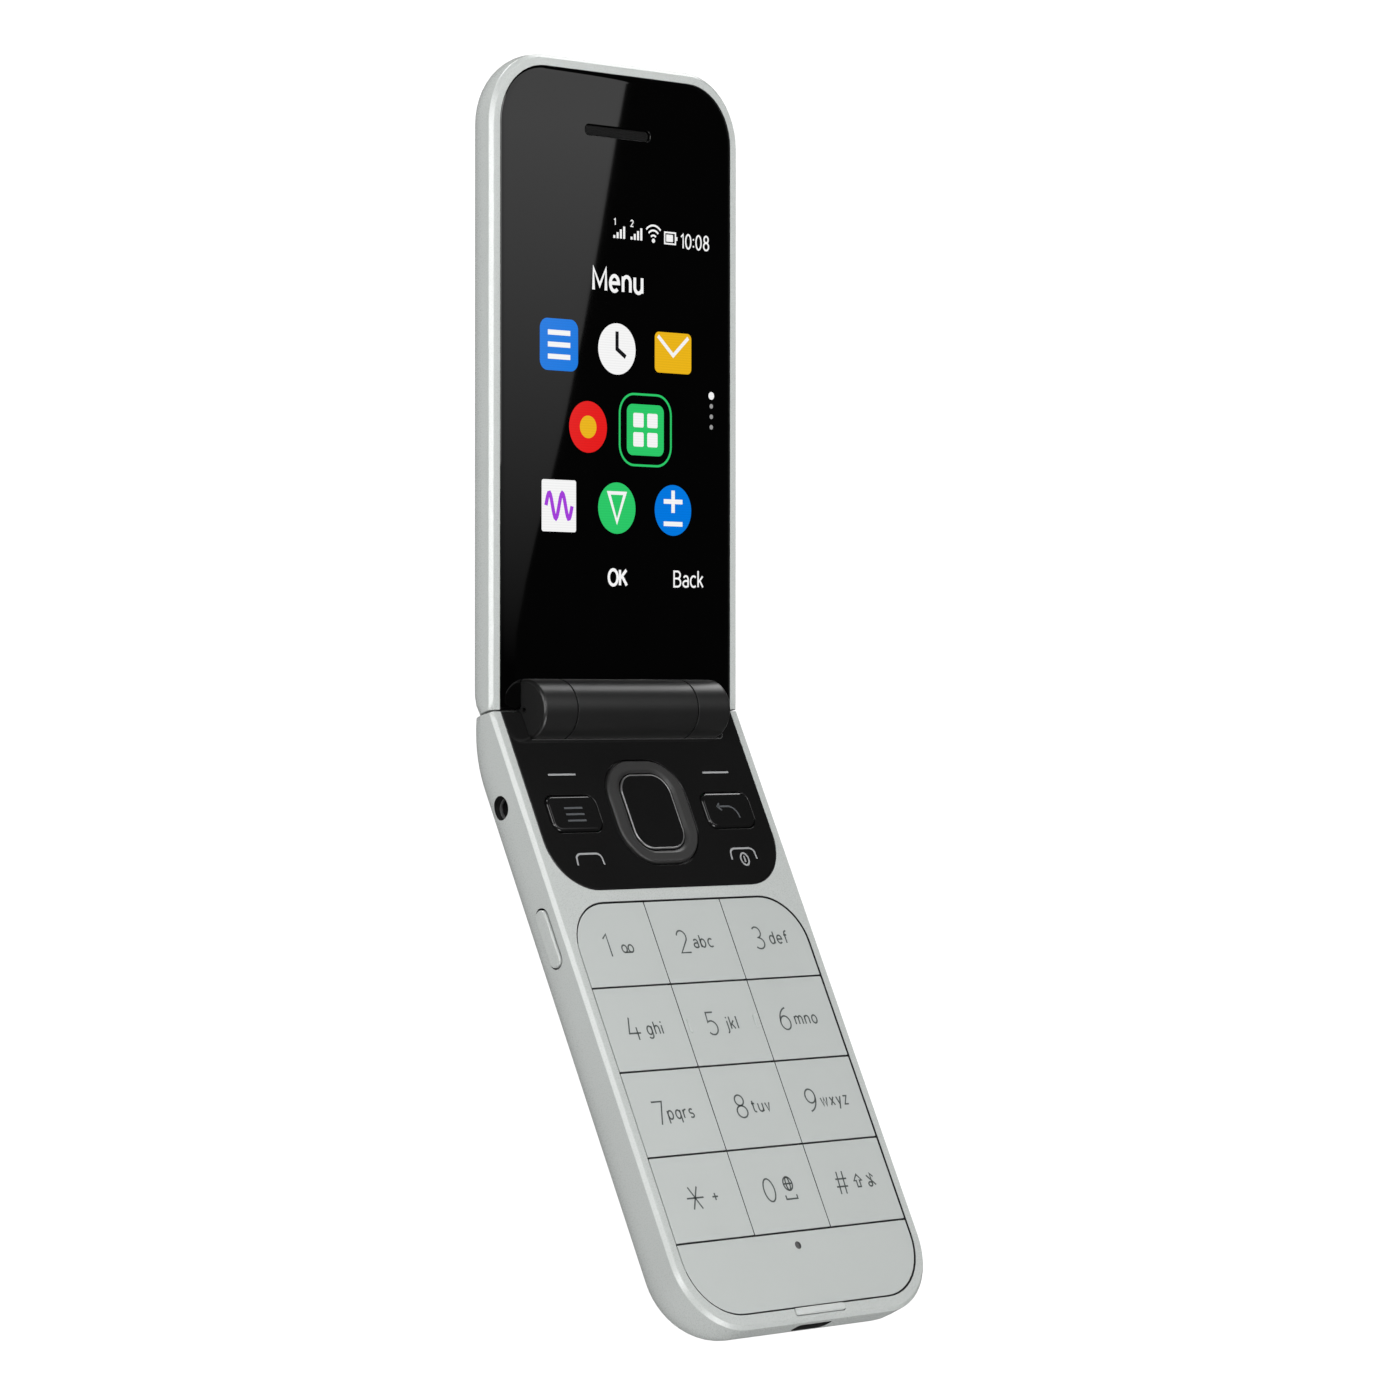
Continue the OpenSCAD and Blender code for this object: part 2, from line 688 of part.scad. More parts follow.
module card_reader() color(METAL) on_base() difference() {
    plate(board_bottom, board_bottom + reader_h)
        translate([-board_hw + reader_side, -mid_y0 + 0.6])
            square([2 * (board_hw - reader_side), mid_y0 - 0.6 - reader_y0]);
    for (s = [-1, 1]) plate(board_bottom + 0.5, board_bottom + reader_h - 0.4)
        translate([s * (board_hw - reader_side) / 2 - card_w / 2, -mid_y0 - cut])
            square([card_w, mid_y0 - reader_y0]);
}

module battery() color([0.12, 0.13, 0.15]) on_base() plate(mid_bottom, mid_bottom + battery_t)
    translate([0, -battery_y0 - battery_l / 2]) round_rect(battery_w, battery_l, 1.5);

module charging_socket() color(METAL) on_base() translate([0, 0, -usb_depth]) {
    difference() {
        along_y(-usb_y0 - usb_l, -usb_y0) square([usb_w, usb_h], center = true);
        along_y(-base_len - cut, -usb_y0 - 1)
            square([usb_w - 2 * usb_sheet, usb_h - 2 * usb_sheet], center = true);
    }
    along_y(-usb_y0 - usb_l + 1, -usb_y0 - 0.5)
        translate([0, usb_h / 2 - usb_sheet - 0.55]) square([3.6, 0.6], center = true);
}

module headphone_socket() color(BLACK) on_base() translate([0, -jack_y, -jack_depth]) difference() {
    union() {
        along_x(-jack_body_x, -jack_mouth + jack_l + 0.8) square([jack_w, jack_h], center = true);
        along_x(-jack_mouth, -jack_body_x + 0.5) circle(jack_nose_r);
    }
    along_x(-jack_mouth - cut, -jack_mouth + jack_l) circle(jack_r);
}

module loudspeaker() color(SATIN) on_base() plate(mid_bottom, mid_bottom + speaker_t)
    translate([0, -tail_y0 - speaker_l / 2]) round_rect(speaker_w, speaker_l, 1);

module microphone() color(GOLD) on_base() plate(pad_depth + 0.05, board_top)
    translate([0, -chin_top - mic_drop]) square([3, 2.2], center = true);

module vibration_motor() color(METAL) on_base() plate(mid_bottom, mid_bottom + motor_t)
    translate([speaker_w / 2 + motor_r + 1, -tail_y0 - motor_r]) circle(motor_r);

module base_screws() color(METAL) on_base()
    for (p = boss_places) translate([p[0], p[1], 0]) screw(board_top, mid_bottom - 0.1);

module bumper_outline(grow) {
    translate([0, -(pad_bottom + base_len - edge_bevel) / 2 - pad_groove / 2])
        round_rect(bumper_w + 2 * grow, end_rim - edge_bevel - pad_groove - 0.35 + 2 * grow, 0.4);
}

module closing_bumper() color(SHELL) on_base() plate(-bumper_rise, 0.5) bumper_outline(0);

// Hinge

module hinge_barrel() color(SATIN) on_base() difference() {
    union() {
        rod(centre_x0, centre_x1, barrel_r);
        plate(tongue_top, tongue_bottom) translate([centre_x0 + tongue_in, -tongue_end])
            square([centre_x1 - centre_x0 - 2 * tongue_in, tongue_end - tongue_start]);
    }
    rod(centre_x0 - cut, can_x1 + seat_fit, can_r + seat_fit);
    rod(can_x1, centre_x1 + cut, sleeve_r + run_fit);
}

module hinge_can() color(METAL) on_base() difference() {
    rod(can_x0, can_x1, can_r);
    rod(can_x0 + can_cap, can_x1 - can_cap, can_r - can_wall);
    rod(can_x0 - cut, can_x0 + can_cap + cut, shaft_r + run_fit);
}

// The spring is a tube of six sides carried along a helix round the shaft
spring_steps = 12;
spring_sides = 6;
spring_rings = spring_turns * spring_steps;
function spring_point(i, j) = let (
        a = 360 * i / spring_steps,
        b = 360 * j / spring_sides,
        r = spring_r + spring_wire / 2 * cos(b),
        x = spring_x0 + (spring_x1 - spring_x0) * i / spring_rings + spring_wire / 2 * sin(b)
    ) [x, r * cos(a), r * sin(a)];
function spring_index(i, j) = i * spring_sides + j % spring_sides;

module hinge_spring() color(METAL) on_base() translate([0, 0, axis_rise]) polyhedron(
    points = [for (i = [0:spring_rings], j = [0:spring_sides - 1]) spring_point(i, j)],
    faces = concat(
        [for (i = [0:spring_rings - 1], j = [0:spring_sides - 1])
            [spring_index(i, j), spring_index(i, j + 1), spring_index(i + 1, j)]],
        [for (i = [0:spring_rings - 1], j = [0:spring_sides - 1])
            [spring_index(i, j + 1), spring_index(i + 1, j + 1), spring_index(i + 1, j)]],
        [for (j = [1:spring_sides - 2]) [0, j + 1, j]],
        [for (j = [1:spring_sides - 2]) [spring_index(spring_rings, 0), spring_index(spring_rings, j),
            spring_index(spring_rings, j + 1)]]));

module knuckle(x0, x1) {
    rod(x0, x1, barrel_r);
    plate(lid_tongue_top, lid_room_t) translate([x0 + cut, -lid_tongue_end])
        square([x1 - x0 - 2 * cut, lid_tongue_end - tongue_start]);
}

module knuckle_left() color(SATIN) on_lid() difference() {
    knuckle(-barrel_half, seam_left - seam_gap / 2);
    translate([0, 0, axis_rise]) along_x(-barrel_half + 1.4, seam_left + cut)
        square(key_side + 2 * seat_fit, center = true);
    rod(-barrel_half - cut, -barrel_half + 2, 0.45);
}

module knuckle_right() color(SATIN) on_lid() difference() {
    knuckle(seam_right + seam_gap / 2, barrel_half);
    rod(seam_right - cut, barrel_half - 1.2, sleeve_r + seat_fit);
}

module hinge_shaft() color(METAL) on_lid() {
    translate([0, 0, axis_rise]) along_x(-barrel_half + 1.5, seam_left) square(key_side, center = true);
    rod(seam_left, can_x1 - can_cap - 0.3, shaft_r);
    rod(cam_x0, cam_x0 + cam_t, cam_r);
}

module hinge_sleeve() color(METAL) on_lid() difference() {
    rod(can_x1 + 0.6, barrel_half - 1.3, sleeve_r);
    rod(can_x1, barrel_half, sleeve_r - sleeve_wall);
}

module hinge_flat_cable() color(GOLD) on_lid() difference() {
    rod(can_x1 + 1, barrel_half - 1.5, sleeve_r - sleeve_wall - 0.2);
    rod(can_x1, barrel_half, sleeve_r - sleeve_wall - 0.7);
}

// Lid

module glass_outline(grow) {
    end_rect(glass_hw + grow, -(glass_end + grow), -panel_top + grow, glass_r + grow);
}

module lid_room(top, bottom) {
    plate(top, bottom) difference() {
        glass_outline(-glass_ledge);
        translate([-half_w, -lid_room_y]) square([body_w, lid_room_y]);
    }
}

module lid_frame() color(SHELL) on_lid() difference() {
    union() {
        difference() {
            lid_solid(0, 0, lid_split);
            lid_room(0, lid_room_t);
            lid_room(lid_plate_bottom, lid_split + cut);
        }
        for (p = lid_screw_places) translate([p[0], p[1], -lid_plate_bottom])
            cylinder(h = lid_plate_bottom - glass_t - 1, r = lid_boss_r);
    }
    front_bevel(lid_len);
    plate(-cut, glass_t + seat_fit) glass_outline(seat_fit);
    barrel_pocket();
    for (span = [[-barrel_half, seam_left], [seam_right, barrel_half]])
        plate(lid_tongue_top - seat_fit, lid_room_t + seat_fit)
            translate([span[0] + cut - seat_fit - seam_gap / 2, -lid_room_y - cut])
                square([span[1] - span[0] - 2 * cut + 2 * seat_fit + seam_gap,
                    lid_room_y + cut - tongue_start + 1]);
    for (p = lid_screw_places) translate([p[0], p[1], -lid_split])
        cylinder(h = lid_split, r = screw_r + seat_fit);
    for (p = lid_screw_places) translate([p[0], p[1], -glass_t - 1])
        cylinder(h = 1, r = screw_head_r + seat_fit);
}

module lid_cover() color(SHELL) on_lid() difference() {
    union() {
        lid_solid(0, lid_split + seat_fit, lid_t);
        for (p = lid_screw_places) translate([p[0], p[1], -lid_split - 0.5])
            cylinder(h = lid_split + 0.5 - lid_plate_bottom - seat_fit, r = cover_boss_r);
    }
    for (p = lid_screw_places) translate([p[0], p[1], -lid_split - 0.6])
        cylinder(h = 2 * cut, r = screw_r);
    plate(lid_t - window_t - seat_fit, lid_t + cut) translate([0, -window_y])
        round_rect(window_w + 2 * seat_fit, window_l + 2 * seat_fit, 3 + seat_fit);
    plate(lid_split, lid_t + cut) translate([0, -window_y])
        square([window_w - 2 * window_rim + 1, window_l - 2 * window_rim + 1], center = true);
    translate([0, -camera_y, -lid_t - cut]) {
        cylinder(h = lid_cover_t + 2 * cut, r = lens_r - 0.5);
        cylinder(h = cut + window_t + seat_fit, r = lens_r + seat_fit);
    }
    translate([flash_x, -camera_y, -lid_t - cut]) {
        cylinder(h = lid_cover_t + 2 * cut, r = flash_r - 0.4);
        cylinder(h = cut + window_t + seat_fit, r = flash_r + seat_fit);
    }
}

module screen_glass() color(BLACK) on_lid() plate(0, glass_t) difference() {
    glass_outline(0);
    foot_notch();
    translate([0, -slot_y]) round_rect(slot_l, slot_h, slot_h / 2 - 0.05);
}

module display_module() color([0.05, 0.05, 0.06]) on_lid()
    plate(glass_t + seat_fit, glass_t + seat_fit + display_t)
        translate([0, -display_y - display_l / 2]) round_rect(display_w, display_l, 0.8);

module earpiece() color(SATIN) on_lid() plate(glass_t + 0.1, lid_room_t)
    translate([0, -slot_y]) round_rect(slot_l + earpiece_over, earpiece_w, 1);

module earpiece_mesh() color(SATIN) on_lid() plate(0.35, glass_t + 0.1)
    translate([0, -slot_y]) round_rect(slot_l - 2 * seat_fit, slot_h - 2 * seat_fit, slot_h / 2 - 0.15);

module outer_window() color(BLACK) on_lid() plate(lid_t - window_t, lid_t)
    translate([0, -window_y]) round_rect(window_w, window_l, 3);

module outer_display() color([0.06, 0.06, 0.07]) on_lid()
    plate(lid_plate_bottom + lid_board_t, lid_t - window_t - seat_fit)
        translate([0, -window_y]) square([window_w, window_l] - 2 * window_rim * [1, 1], center = true);

module lid_board() color(BOARD) on_lid() plate(lid_plate_bottom, lid_plate_bottom + lid_board_t)
    translate([-window_w / 2, -camera_y + camera_w / 2 + 1])
        square([window_w, camera_y - camera_w / 2 - 1 - window_y + window_l / 2 + 4 * window_rim]);

module camera_module() color(SATIN) on_lid() {
    plate(lid_plate_bottom, lid_split - seat_fit)
        translate([0, -camera_y]) round_rect(camera_w, camera_w, 0.8);
    translate([0, -camera_y, -lid_t + window_t + seat_fit])
        cylinder(h = lid_cover_t - window_t + 2 * seat_fit, r = lens_r - 0.7);
}

module camera_lens() color(BLACK) on_lid()
    translate([0, -camera_y, -lid_t]) cylinder(h = window_t, r = lens_r);

module flash_lens() color([0.95, 0.93, 0.8]) on_lid()
    translate([flash_x, -camera_y, -lid_t]) cylinder(h = window_t, r = flash_r);

module lid_magnet() color(METAL) on_lid() plate(lid_room_t - 1.5, lid_room_t)
    translate([glass_hw - glass_ledge - 5, -slot_y]) circle(2.2);

module lid_screws() color(METAL) on_lid()
    for (p = lid_screw_places) translate([p[0], p[1], 0]) screw(glass_t + 1, lid_split + 0.55);

// Control keys

module ring_carrier() color(SATIN) on_base() plate(carrier_top, carrier_top + carrier_t)
    translate([0, -ring_y]) difference() {
        round_rect(ring_w + 2 * carrier_rim, ring_l + 2 * carrier_rim, ring_r + carrier_rim);
        round_rect(2 * stem_r + 2, 2 * stem_r + 2, stem_r);
    }

module direction_ring() color(SATIN) on_base() plate(-ring_rise, ring_t)
    translate([0, -ring_y]) difference() {
        round_rect(ring_w, ring_l, ring_r);
        round_rect(ok_w + 2 * ok_gap, ok_l + 2 * ok_gap, ok_r + ok_gap);
    }

module stemmed_key(rise, bottom) {
    plate(-rise, bottom) children();
    plate(bottom, stem_end) circle(stem_r);
}

module centre_key() color(BLACK) on_base() translate([0, -ring_y, 0])
    stemmed_key(ok_rise, panel_t - 0.15) round_rect(ok_w, ok_l, ok_r);

module menu_key() color(BLACK) on_base() translate([-menu_x, -ring_y, 0])
    stemmed_key(menu_rise, panel_t + 0.1) round_rect(menu_w, menu_l, menu_r);

module back_key() color(BLACK) on_base() translate([menu_x, -ring_y, 0])
    stemmed_key(menu_rise, panel_t + 0.1) round_rect(menu_w, menu_l, menu_r);

module side_key() color(SHELL) on_base() translate([0, -side_key_y, -side_key_depth])
    along_x(-half_w - side_key_rise, -half_w + base_wall + 0.5) side_slot(side_key_l, side_key_h);

module volume_key() color(SHELL) on_base() translate([0, -side_key_y, -side_key_depth])
    along_x(half_w - base_wall - 0.5, half_w + side_key_rise) side_slot(volume_l, side_key_h);

base_housing();
rear_cover();
control_panel();
chin_plate();
key_mat();
dome_switches();
main_board();
shield_can();
card_reader();
battery();
charging_socket();
headphone_socket();
loudspeaker();
microphone();
vibration_motor();
base_screws();
closing_bumper();
hinge_barrel();
hinge_can();
hinge_spring();
lid_frame();
lid_cover();
screen_glass();
display_module();
earpiece();
earpiece_mesh();
outer_window();
outer_display();
camera_module();
camera_lens();
flash_lens();
lid_board();
lid_magnet();
lid_screws();
knuckle_left();
knuckle_right();
hinge_shaft();
hinge_sleeve();
hinge_flat_cable();
for (i = [0:11]) key_cap(i);
ring_carrier();
direction_ring();
centre_key();
menu_key();
back_key();
side_key();
volume_key();
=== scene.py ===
# Flip phone, open on its stop and lying on its back: the looks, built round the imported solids.
# Shapes are worked out in millimetres in the place of their own half of the phone, then carried into
# the row frame. In both halves y is negative away from the hinge and depths go into the half.
import json

import bmesh
import bpy
import numpy as np
from mathutils import Matrix, Vector


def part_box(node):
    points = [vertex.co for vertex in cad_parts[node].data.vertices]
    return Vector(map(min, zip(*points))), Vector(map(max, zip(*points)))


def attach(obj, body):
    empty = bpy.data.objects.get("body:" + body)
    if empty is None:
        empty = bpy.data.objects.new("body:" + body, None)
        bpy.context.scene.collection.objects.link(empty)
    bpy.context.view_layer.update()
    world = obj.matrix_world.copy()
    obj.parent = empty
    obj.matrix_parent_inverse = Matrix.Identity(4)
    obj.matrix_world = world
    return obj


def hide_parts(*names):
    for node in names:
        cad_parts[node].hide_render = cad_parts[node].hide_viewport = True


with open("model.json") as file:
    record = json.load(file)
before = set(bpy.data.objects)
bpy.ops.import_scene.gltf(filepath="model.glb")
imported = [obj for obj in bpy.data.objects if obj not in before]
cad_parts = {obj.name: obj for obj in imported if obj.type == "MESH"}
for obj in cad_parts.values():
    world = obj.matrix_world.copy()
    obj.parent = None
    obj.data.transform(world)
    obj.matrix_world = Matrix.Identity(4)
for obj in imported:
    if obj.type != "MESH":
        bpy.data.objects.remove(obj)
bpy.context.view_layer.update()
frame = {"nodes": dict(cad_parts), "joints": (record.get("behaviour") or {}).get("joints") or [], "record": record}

# Base housing
# The shell of the lower half: one moulding in light grey plastic under a satin paint, with a bright
# bevel round its face and deep round back edges. The rear cover closes it from behind.

MM = 0.001
WELD = 5e-7
CRISP = np.radians(38)
hinge = next(joint for joint in frame["joints"] if joint["name"] == "lid_hinge")
hinge_y = hinge["pos_m"][1] / MM
base_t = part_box("control_panel")[1].z / MM
axis_rise = hinge["pos_m"][2] / MM - base_t
lid_tilt = np.radians(180 - hinge["range_deg"][1])
half_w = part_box("base_housing")[1].x / MM
base_len = hinge_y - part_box("base_housing")[0].y / MM
corner_r = 11.5
hinge_corner_r = 0.3
half_radii = (hinge_corner_r, corner_r, corner_r, hinge_corner_r)
bevel = 0.6
bevel_soft = 0.25
bevel_end = bevel + bevel_soft * np.tan(np.pi / 8)
base_wall_drop = 3.7
base_edge_r = base_t - base_wall_drop
base_back_start = 9.5
base_back_r = 20.0
base_shell = 1.4
end_gap = 0.32
end_slope = np.tan(lid_tilt / 2)
end_half = end_gap / 2 / np.cos(lid_tilt / 2)
side_steps = 64
seat = 0.05
clear = 0.001
nearly = 0.01
spare = 1.0


def on_base(points):
    """Carries points of the base, in millimetres, into the row frame, in metres."""
    return (points + [0, hinge_y, base_t]) * MM


def outline(x0, x1, y0, y1, radii, inset, steps=1):
    """Rectangle with round corners, drawn in by each inset: loops from the upper right corner, clockwise.

    A corner is a quarter circle of its radius less the inset; the long sides are rows of even steps.
    The radii go upper right, lower right, lower left, upper left, or are one number."""
    inset = np.asarray(inset, float)[:, None]
    radii = np.broadcast_to(radii, 4)
    quarter = np.linspace(0, np.pi / 2, 13)
    corners = []
    for x, y, to_x, to_y, start, r in (
        (x1, y1, -1, -1, np.pi / 2, radii[0]),
        (x1, y0, -1, 1, 0, radii[1]),
        (x0, y0, 1, 1, -np.pi / 2, radii[2]),
        (x0, y1, 1, -1, np.pi, radii[3]),
    ):
        reach = np.maximum(r, inset)
        bend = np.maximum(r - inset, 0)
        corners.append(np.stack([x + to_x * reach + bend * np.cos(start - quarter),
                                 y + to_y * reach + bend * np.sin(start - quarter)], -1))
    share = (np.arange(1, steps) / steps)[None, :, None]
    right = corners[0][:, -1:] * (1 - share) + corners[1][:, :1] * share
    left = corners[2][:, -1:] * (1 - share) + corners[3][:, :1] * share
    return np.concatenate([corners[0], right, corners[1], corners[2], left, corners[3]], 1)


def at_depth(loops, depth):
    """Flat loops, each set at its own depth."""
    height = np.broadcast_to(-np.asarray(depth, float)[:, None, None], loops.shape[:2] + (1,))
    return np.concatenate([loops, height], -1)


def stack(edges, radii, inset, depth, steps=1):
    """Loops of one rounded rectangle, each at its own inset and depth."""
    return at_depth(outline(*edges, radii, inset, steps), depth)


def weld(work):
    """Merges points that coincide and drops what has no area."""
    bmesh.ops.remove_doubles(work, verts=work.verts, dist=WELD)
    bmesh.ops.dissolve_degenerate(work, edges=work.edges, dist=WELD)


def add_mesh(name, points, faces):
    """New object from an array of points in metres and an array of faces, welded and facing outwards."""
    mesh = bpy.data.meshes.new(name)
    mesh.from_pydata(points.reshape(-1, 3), [], faces.tolist())
    work = bmesh.new()
    work.from_mesh(mesh)
    weld(work)
    bmesh.ops.recalc_face_normals(work, faces=work.faces)
    work.to_mesh(mesh)
    work.free()
    made = bpy.data.objects.new(name, mesh)
    bpy.context.scene.collection.objects.link(made)
    return made


def loft(name, rings, place=on_base):
    """Closed solid through a stack of convex loops: quads between neighbours, and across both ends a
    ladder of quads from each point to the one as far along on the other side."""
    levels, count = rings.shape[:2]
    index = np.arange(levels * count).reshape(levels, count)
    ahead = np.roll(index, -1, axis=1)
    walls = np.stack([index[:-1], index[1:], ahead[1:], ahead[:-1]], -1).reshape(-1, 4)
    rung = np.arange(count // 2 - 1)
    ladder = np.stack([rung, rung + 1, count - 2 - rung, count - 1 - rung], -1)
    ends = [index[0][ladder], index[-1][ladder][:, ::-1]]
    return add_mesh(name, place(rings), np.concatenate([walls, *ends]))


def rounding(radius, steps=5):
    """Quarter circle of a rounded edge as insets and depths, from the face down to the wall."""
    turn = np.linspace(0, np.pi / 2, steps + 1)
    return radius * (1 - np.sin(turn)), radius * (1 - np.cos(turn))


def prism(edges, radii, top, bottom, place=on_base):
    """Closed block of a rounded rectangle between two depths, used for cutting."""
    return loft("cut", stack(edges, radii, [0, 0], [top, bottom]), place)


def hollow(edges, radii, bottom, flare=0.1, place=on_base):
    """Cutting block for a recess: straight walls, and a mouth that opens in a quarter circle."""
    spread, down = rounding(flare)
    inset = np.concatenate([[-flare], -spread, [0]])
    depth = np.concatenate([[-spare], down - clear, [bottom]])
    return loft("cut", stack(edges, radii, inset, depth), place)


def turned(name, along, radius, place=on_base):
    """Solid of revolution round the hinge axis: circles of these radii at these places along it."""
    turn = np.linspace(0, 2 * np.pi, 72, endpoint=False)
    radius = np.asarray(radius, float)[:, None]
    rings = np.broadcast_arrays(np.asarray(along, float)[:, None], radius * np.cos(turn),
                                axis_rise + radius * np.sin(turn))
    return loft(name, np.stack(rings, -1), place)


def bore(x0, x1, radius, place=on_base):
    """Cutting block for a round hole along the hinge axis."""
    return turned("cut", [x0, x1], [radius, radius], place)


def carve(body, blocks, operation, lining):
    """Cuts closed blocks out of a piece, or joins them to it, and removes the blocks. The faces that a
    block leaves behind take the lining."""
    for block in blocks:
        block.data.materials.append(lining)
        step = body.modifiers.new("carve", "BOOLEAN")
        step.operation = operation
        step.solver = "EXACT"
        step.material_mode = "TRANSFER"
        step.object = block
    view = bpy.context.evaluated_depsgraph_get()
    shape = bpy.data.meshes.new_from_object(body.evaluated_get(view))
    body.modifiers.clear()
    old = body.data
    body.data = shape
    bpy.data.meshes.remove(old)
    shape.name = body.name
    work = bmesh.new()
    work.from_mesh(shape)
    weld(work)
    work.to_mesh(shape)
    work.free()
    for block in blocks:
        bpy.data.objects.remove(block)


class Wire:
    """A socket in a material's nodes. Arithmetic on wires adds Math nodes, node() adds any other."""

    def __init__(self, tree, socket=None):
        self.tree = tree
        self.socket = socket

    def node(self, kind, settings=(), inputs=(), output=0):
        made = self.tree.nodes.new(kind)
        for name, value in dict(settings).items():
            setattr(made, name, value)
        for name, value in dict(inputs).items():
            if isinstance(value, Wire):
                self.tree.links.new(value.socket, made.inputs[name])
            else:
                made.inputs[name].default_value = value
        return Wire(self.tree, made.outputs[output])

    def math(self, operation, first, second=0.0):
        return self.node("ShaderNodeMath", {"operation": operation}, {0: first, 1: second})

    def __add__(self, other):
        return self.math("ADD", self, other)

    def __sub__(self, other):
        return self.math("SUBTRACT", self, other)

    def __rsub__(self, other):
        return self.math("SUBTRACT", other, self)

    def __mul__(self, other):
        return self.math("MULTIPLY", self, other)

    def __gt__(self, other):
        return self.math("GREATER_THAN", self, other)

    def __lt__(self, other):
        return self.math("LESS_THAN", self, other)

    __radd__ = __add__
    __rmul__ = __mul__

    def place(self):
        """Where a point lies on the object, in metres."""
        return self.node("ShaderNodeTexCoord", output="Object")

    def noise(self, size, detail):
        """Cloudy noise from 0 to 1 with features of about this size, in millimetres."""
        inputs = {"Vector": self.place(), "Scale": 1 / (size * MM), "Detail": detail}
        return self.node("ShaderNodeTexNoise", {}, inputs)

    def mix(self, share, low, high):
        """Colour between two colours."""
        return self.node("ShaderNodeMix", {"data_type": "RGBA"}, {0: share, 6: low, 7: high}, output=2)

    def bump(self, height, depth):
        """Normal of a surface that rises by this depth, in millimetres, where height is 1."""
        inputs = {"Height": height, "Distance": depth * MM, "Strength": 1.0}
        return self.node("ShaderNodeBump", {}, inputs)


def grey(value, warm=0.0):
    """Linear colour of one brightness, a little warmer or cooler."""
    return (value * (1 + warm), value, value * (1 - warm), 1)


def coat(low, high, cloud, rough, spread, grain=None, lift=0.0):
    """Paint whose colour runs from low to high along clouds of noise, and whose roughness runs from rough
    up by spread along a finer grain, or along the same clouds, which may also lift the surface. A noise
    is its size, in millimetres, and its detail."""
    def paint(wire):
        tint = wire.noise(*cloud)
        fine = wire.noise(*grain) if grain else tint
        look = {"Base Color": wire.mix(tint, low, high), "Roughness": rough + spread * fine}
        if lift:
            look["Normal"] = wire.bump(fine, lift)
        return look
    return paint


def finish(name, paint, **fixed):
    """New material: paint takes a wire and gives the inputs that vary, fixed gives the others."""
    material = bpy.data.materials.new(name)
    material.use_nodes = True
    tree = material.node_tree
    shader = tree.nodes["Principled BSDF"].inputs
    for socket, value in fixed.items():
        shader[socket.replace("_", " ")].default_value = value
    for socket, wire in paint(Wire(tree)).items():
        tree.links.new(wire.socket, shader[socket])
    return material


def settle(made, material, body, slot, *nodes, joins=(), cuts=(), lining=None):
    """Finishes a piece: its colour, what is joined to it and cut out of it, and its shading. Hangs it on
    the empty of the body it rides on, and hides the nodes it stands for. The slot is not used."""
    made.data.materials.append(material)
    if joins:
        carve(made, joins, "UNION", material)
    if cuts:
        carve(made, cuts, "DIFFERENCE", lining or material)
    made.data.shade_smooth()
    made.data.set_sharp_from_angle(angle=CRISP)
    flats = made.modifiers.new("flats", "WEIGHTED_NORMAL")
    flats.keep_sharp = True
    flats.weight = 100
    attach(made, body)
    if nodes:
        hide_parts(*nodes)
    return made


# Satin paint with faint clouds of colour and a fine orange peel. The faces cut into the shell are near
# black: painted shade in its recesses, grooves and holes.
shell_paint = finish("satin_shell_paint", coat((0.472, 0.495, 0.482, 1), (0.502, 0.525, 0.512, 1), (9.0, 3.0),
                                               0.24, 0.08, grain=(0.16, 1.0), lift=0.002),
                     Specular_IOR_Level=0.75)
recess_shade_lining = finish("recess_shade_lining", coat(grey(0.006), grey(0.01), (0.2, 2.0), 0.6, 0.2))


def half_rings(length, wall, edge_r, back_start, back_r):
    """Loops of one half, from its face to its back: a bevel with soft ends, a straight wall and a round
    back edge. The end at the hinge is slanted, and the back rises to it along a circle."""
    ease = np.linspace(0, np.pi / 4, 4)
    near = bevel_end - bevel_soft * np.sin(ease)
    far = bevel_soft * (1 - np.cos(ease))
    turn = np.linspace(0, np.pi / 2, 16)
    middle = (bevel_end + wall) / 2
    inset = np.concatenate([near, far[::-1], [0], edge_r * (1 - np.cos(turn))])
    depth = np.concatenate([far, near[::-1], [middle], wall + edge_r * np.sin(turn)])
    follow = np.clip((depth - bevel_end) / (wall - bevel_end), 0, 1)

    def rise(y):
        return back_r - np.sqrt(back_r ** 2 - np.clip(y + back_start, 0, back_r) ** 2)

    end = np.zeros_like(depth)
    for _ in range(12):
        end = end_slope * (depth - follow * rise(end) + axis_rise) - end_half
    edges = (-half_w, half_w, -length, (end + inset)[:, None])
    rings = stack(edges, half_radii, inset, depth, side_steps)
    rings[..., 2] += follow[:, None] * rise(rings[..., 1])
    return rings


def on_wall(side, y, depth):
    """Place on the left (-1) or right (1) wall: along the phone, across the wall, and out of it."""
    def place(points):
        along, across, out = np.moveaxis(points, -1, 0)
        return on_base(np.stack([side * (half_w + out), y + along, across - depth], -1))
    return place


def on_end(depth):
    """Place on the bottom end: across the phone, across the wall, and out of it."""
    def place(points):
        along, across, out = np.moveaxis(points, -1, 0)
        return on_base(np.stack([along, -base_len - out, across - depth], -1))
    return place


def about(width, length, x=0.0, y=0.0):
    """Edges of a rectangle of this width and length round a point."""
    return (x - width / 2, x + width / 2, y - length / 2, y + length / 2)


def circle(radius, x=0.0, y=0.0):
    """Edges and corner radius of a circle round a point, as a rectangle that is almost all corners."""
    return about(2 * radius, 2 * radius, x, y), radius - nearly


def grown(edges, by):
    """Edges moved out by a distance."""
    x0, x1, y0, y1 = edges
    return (x0 - by, x1 + by, y0 - by, y1 + by)


def far_round(radius):
    """Radii of a rectangle that is round only at the corners away from the hinge."""
    return (0, radius, radius, 0)


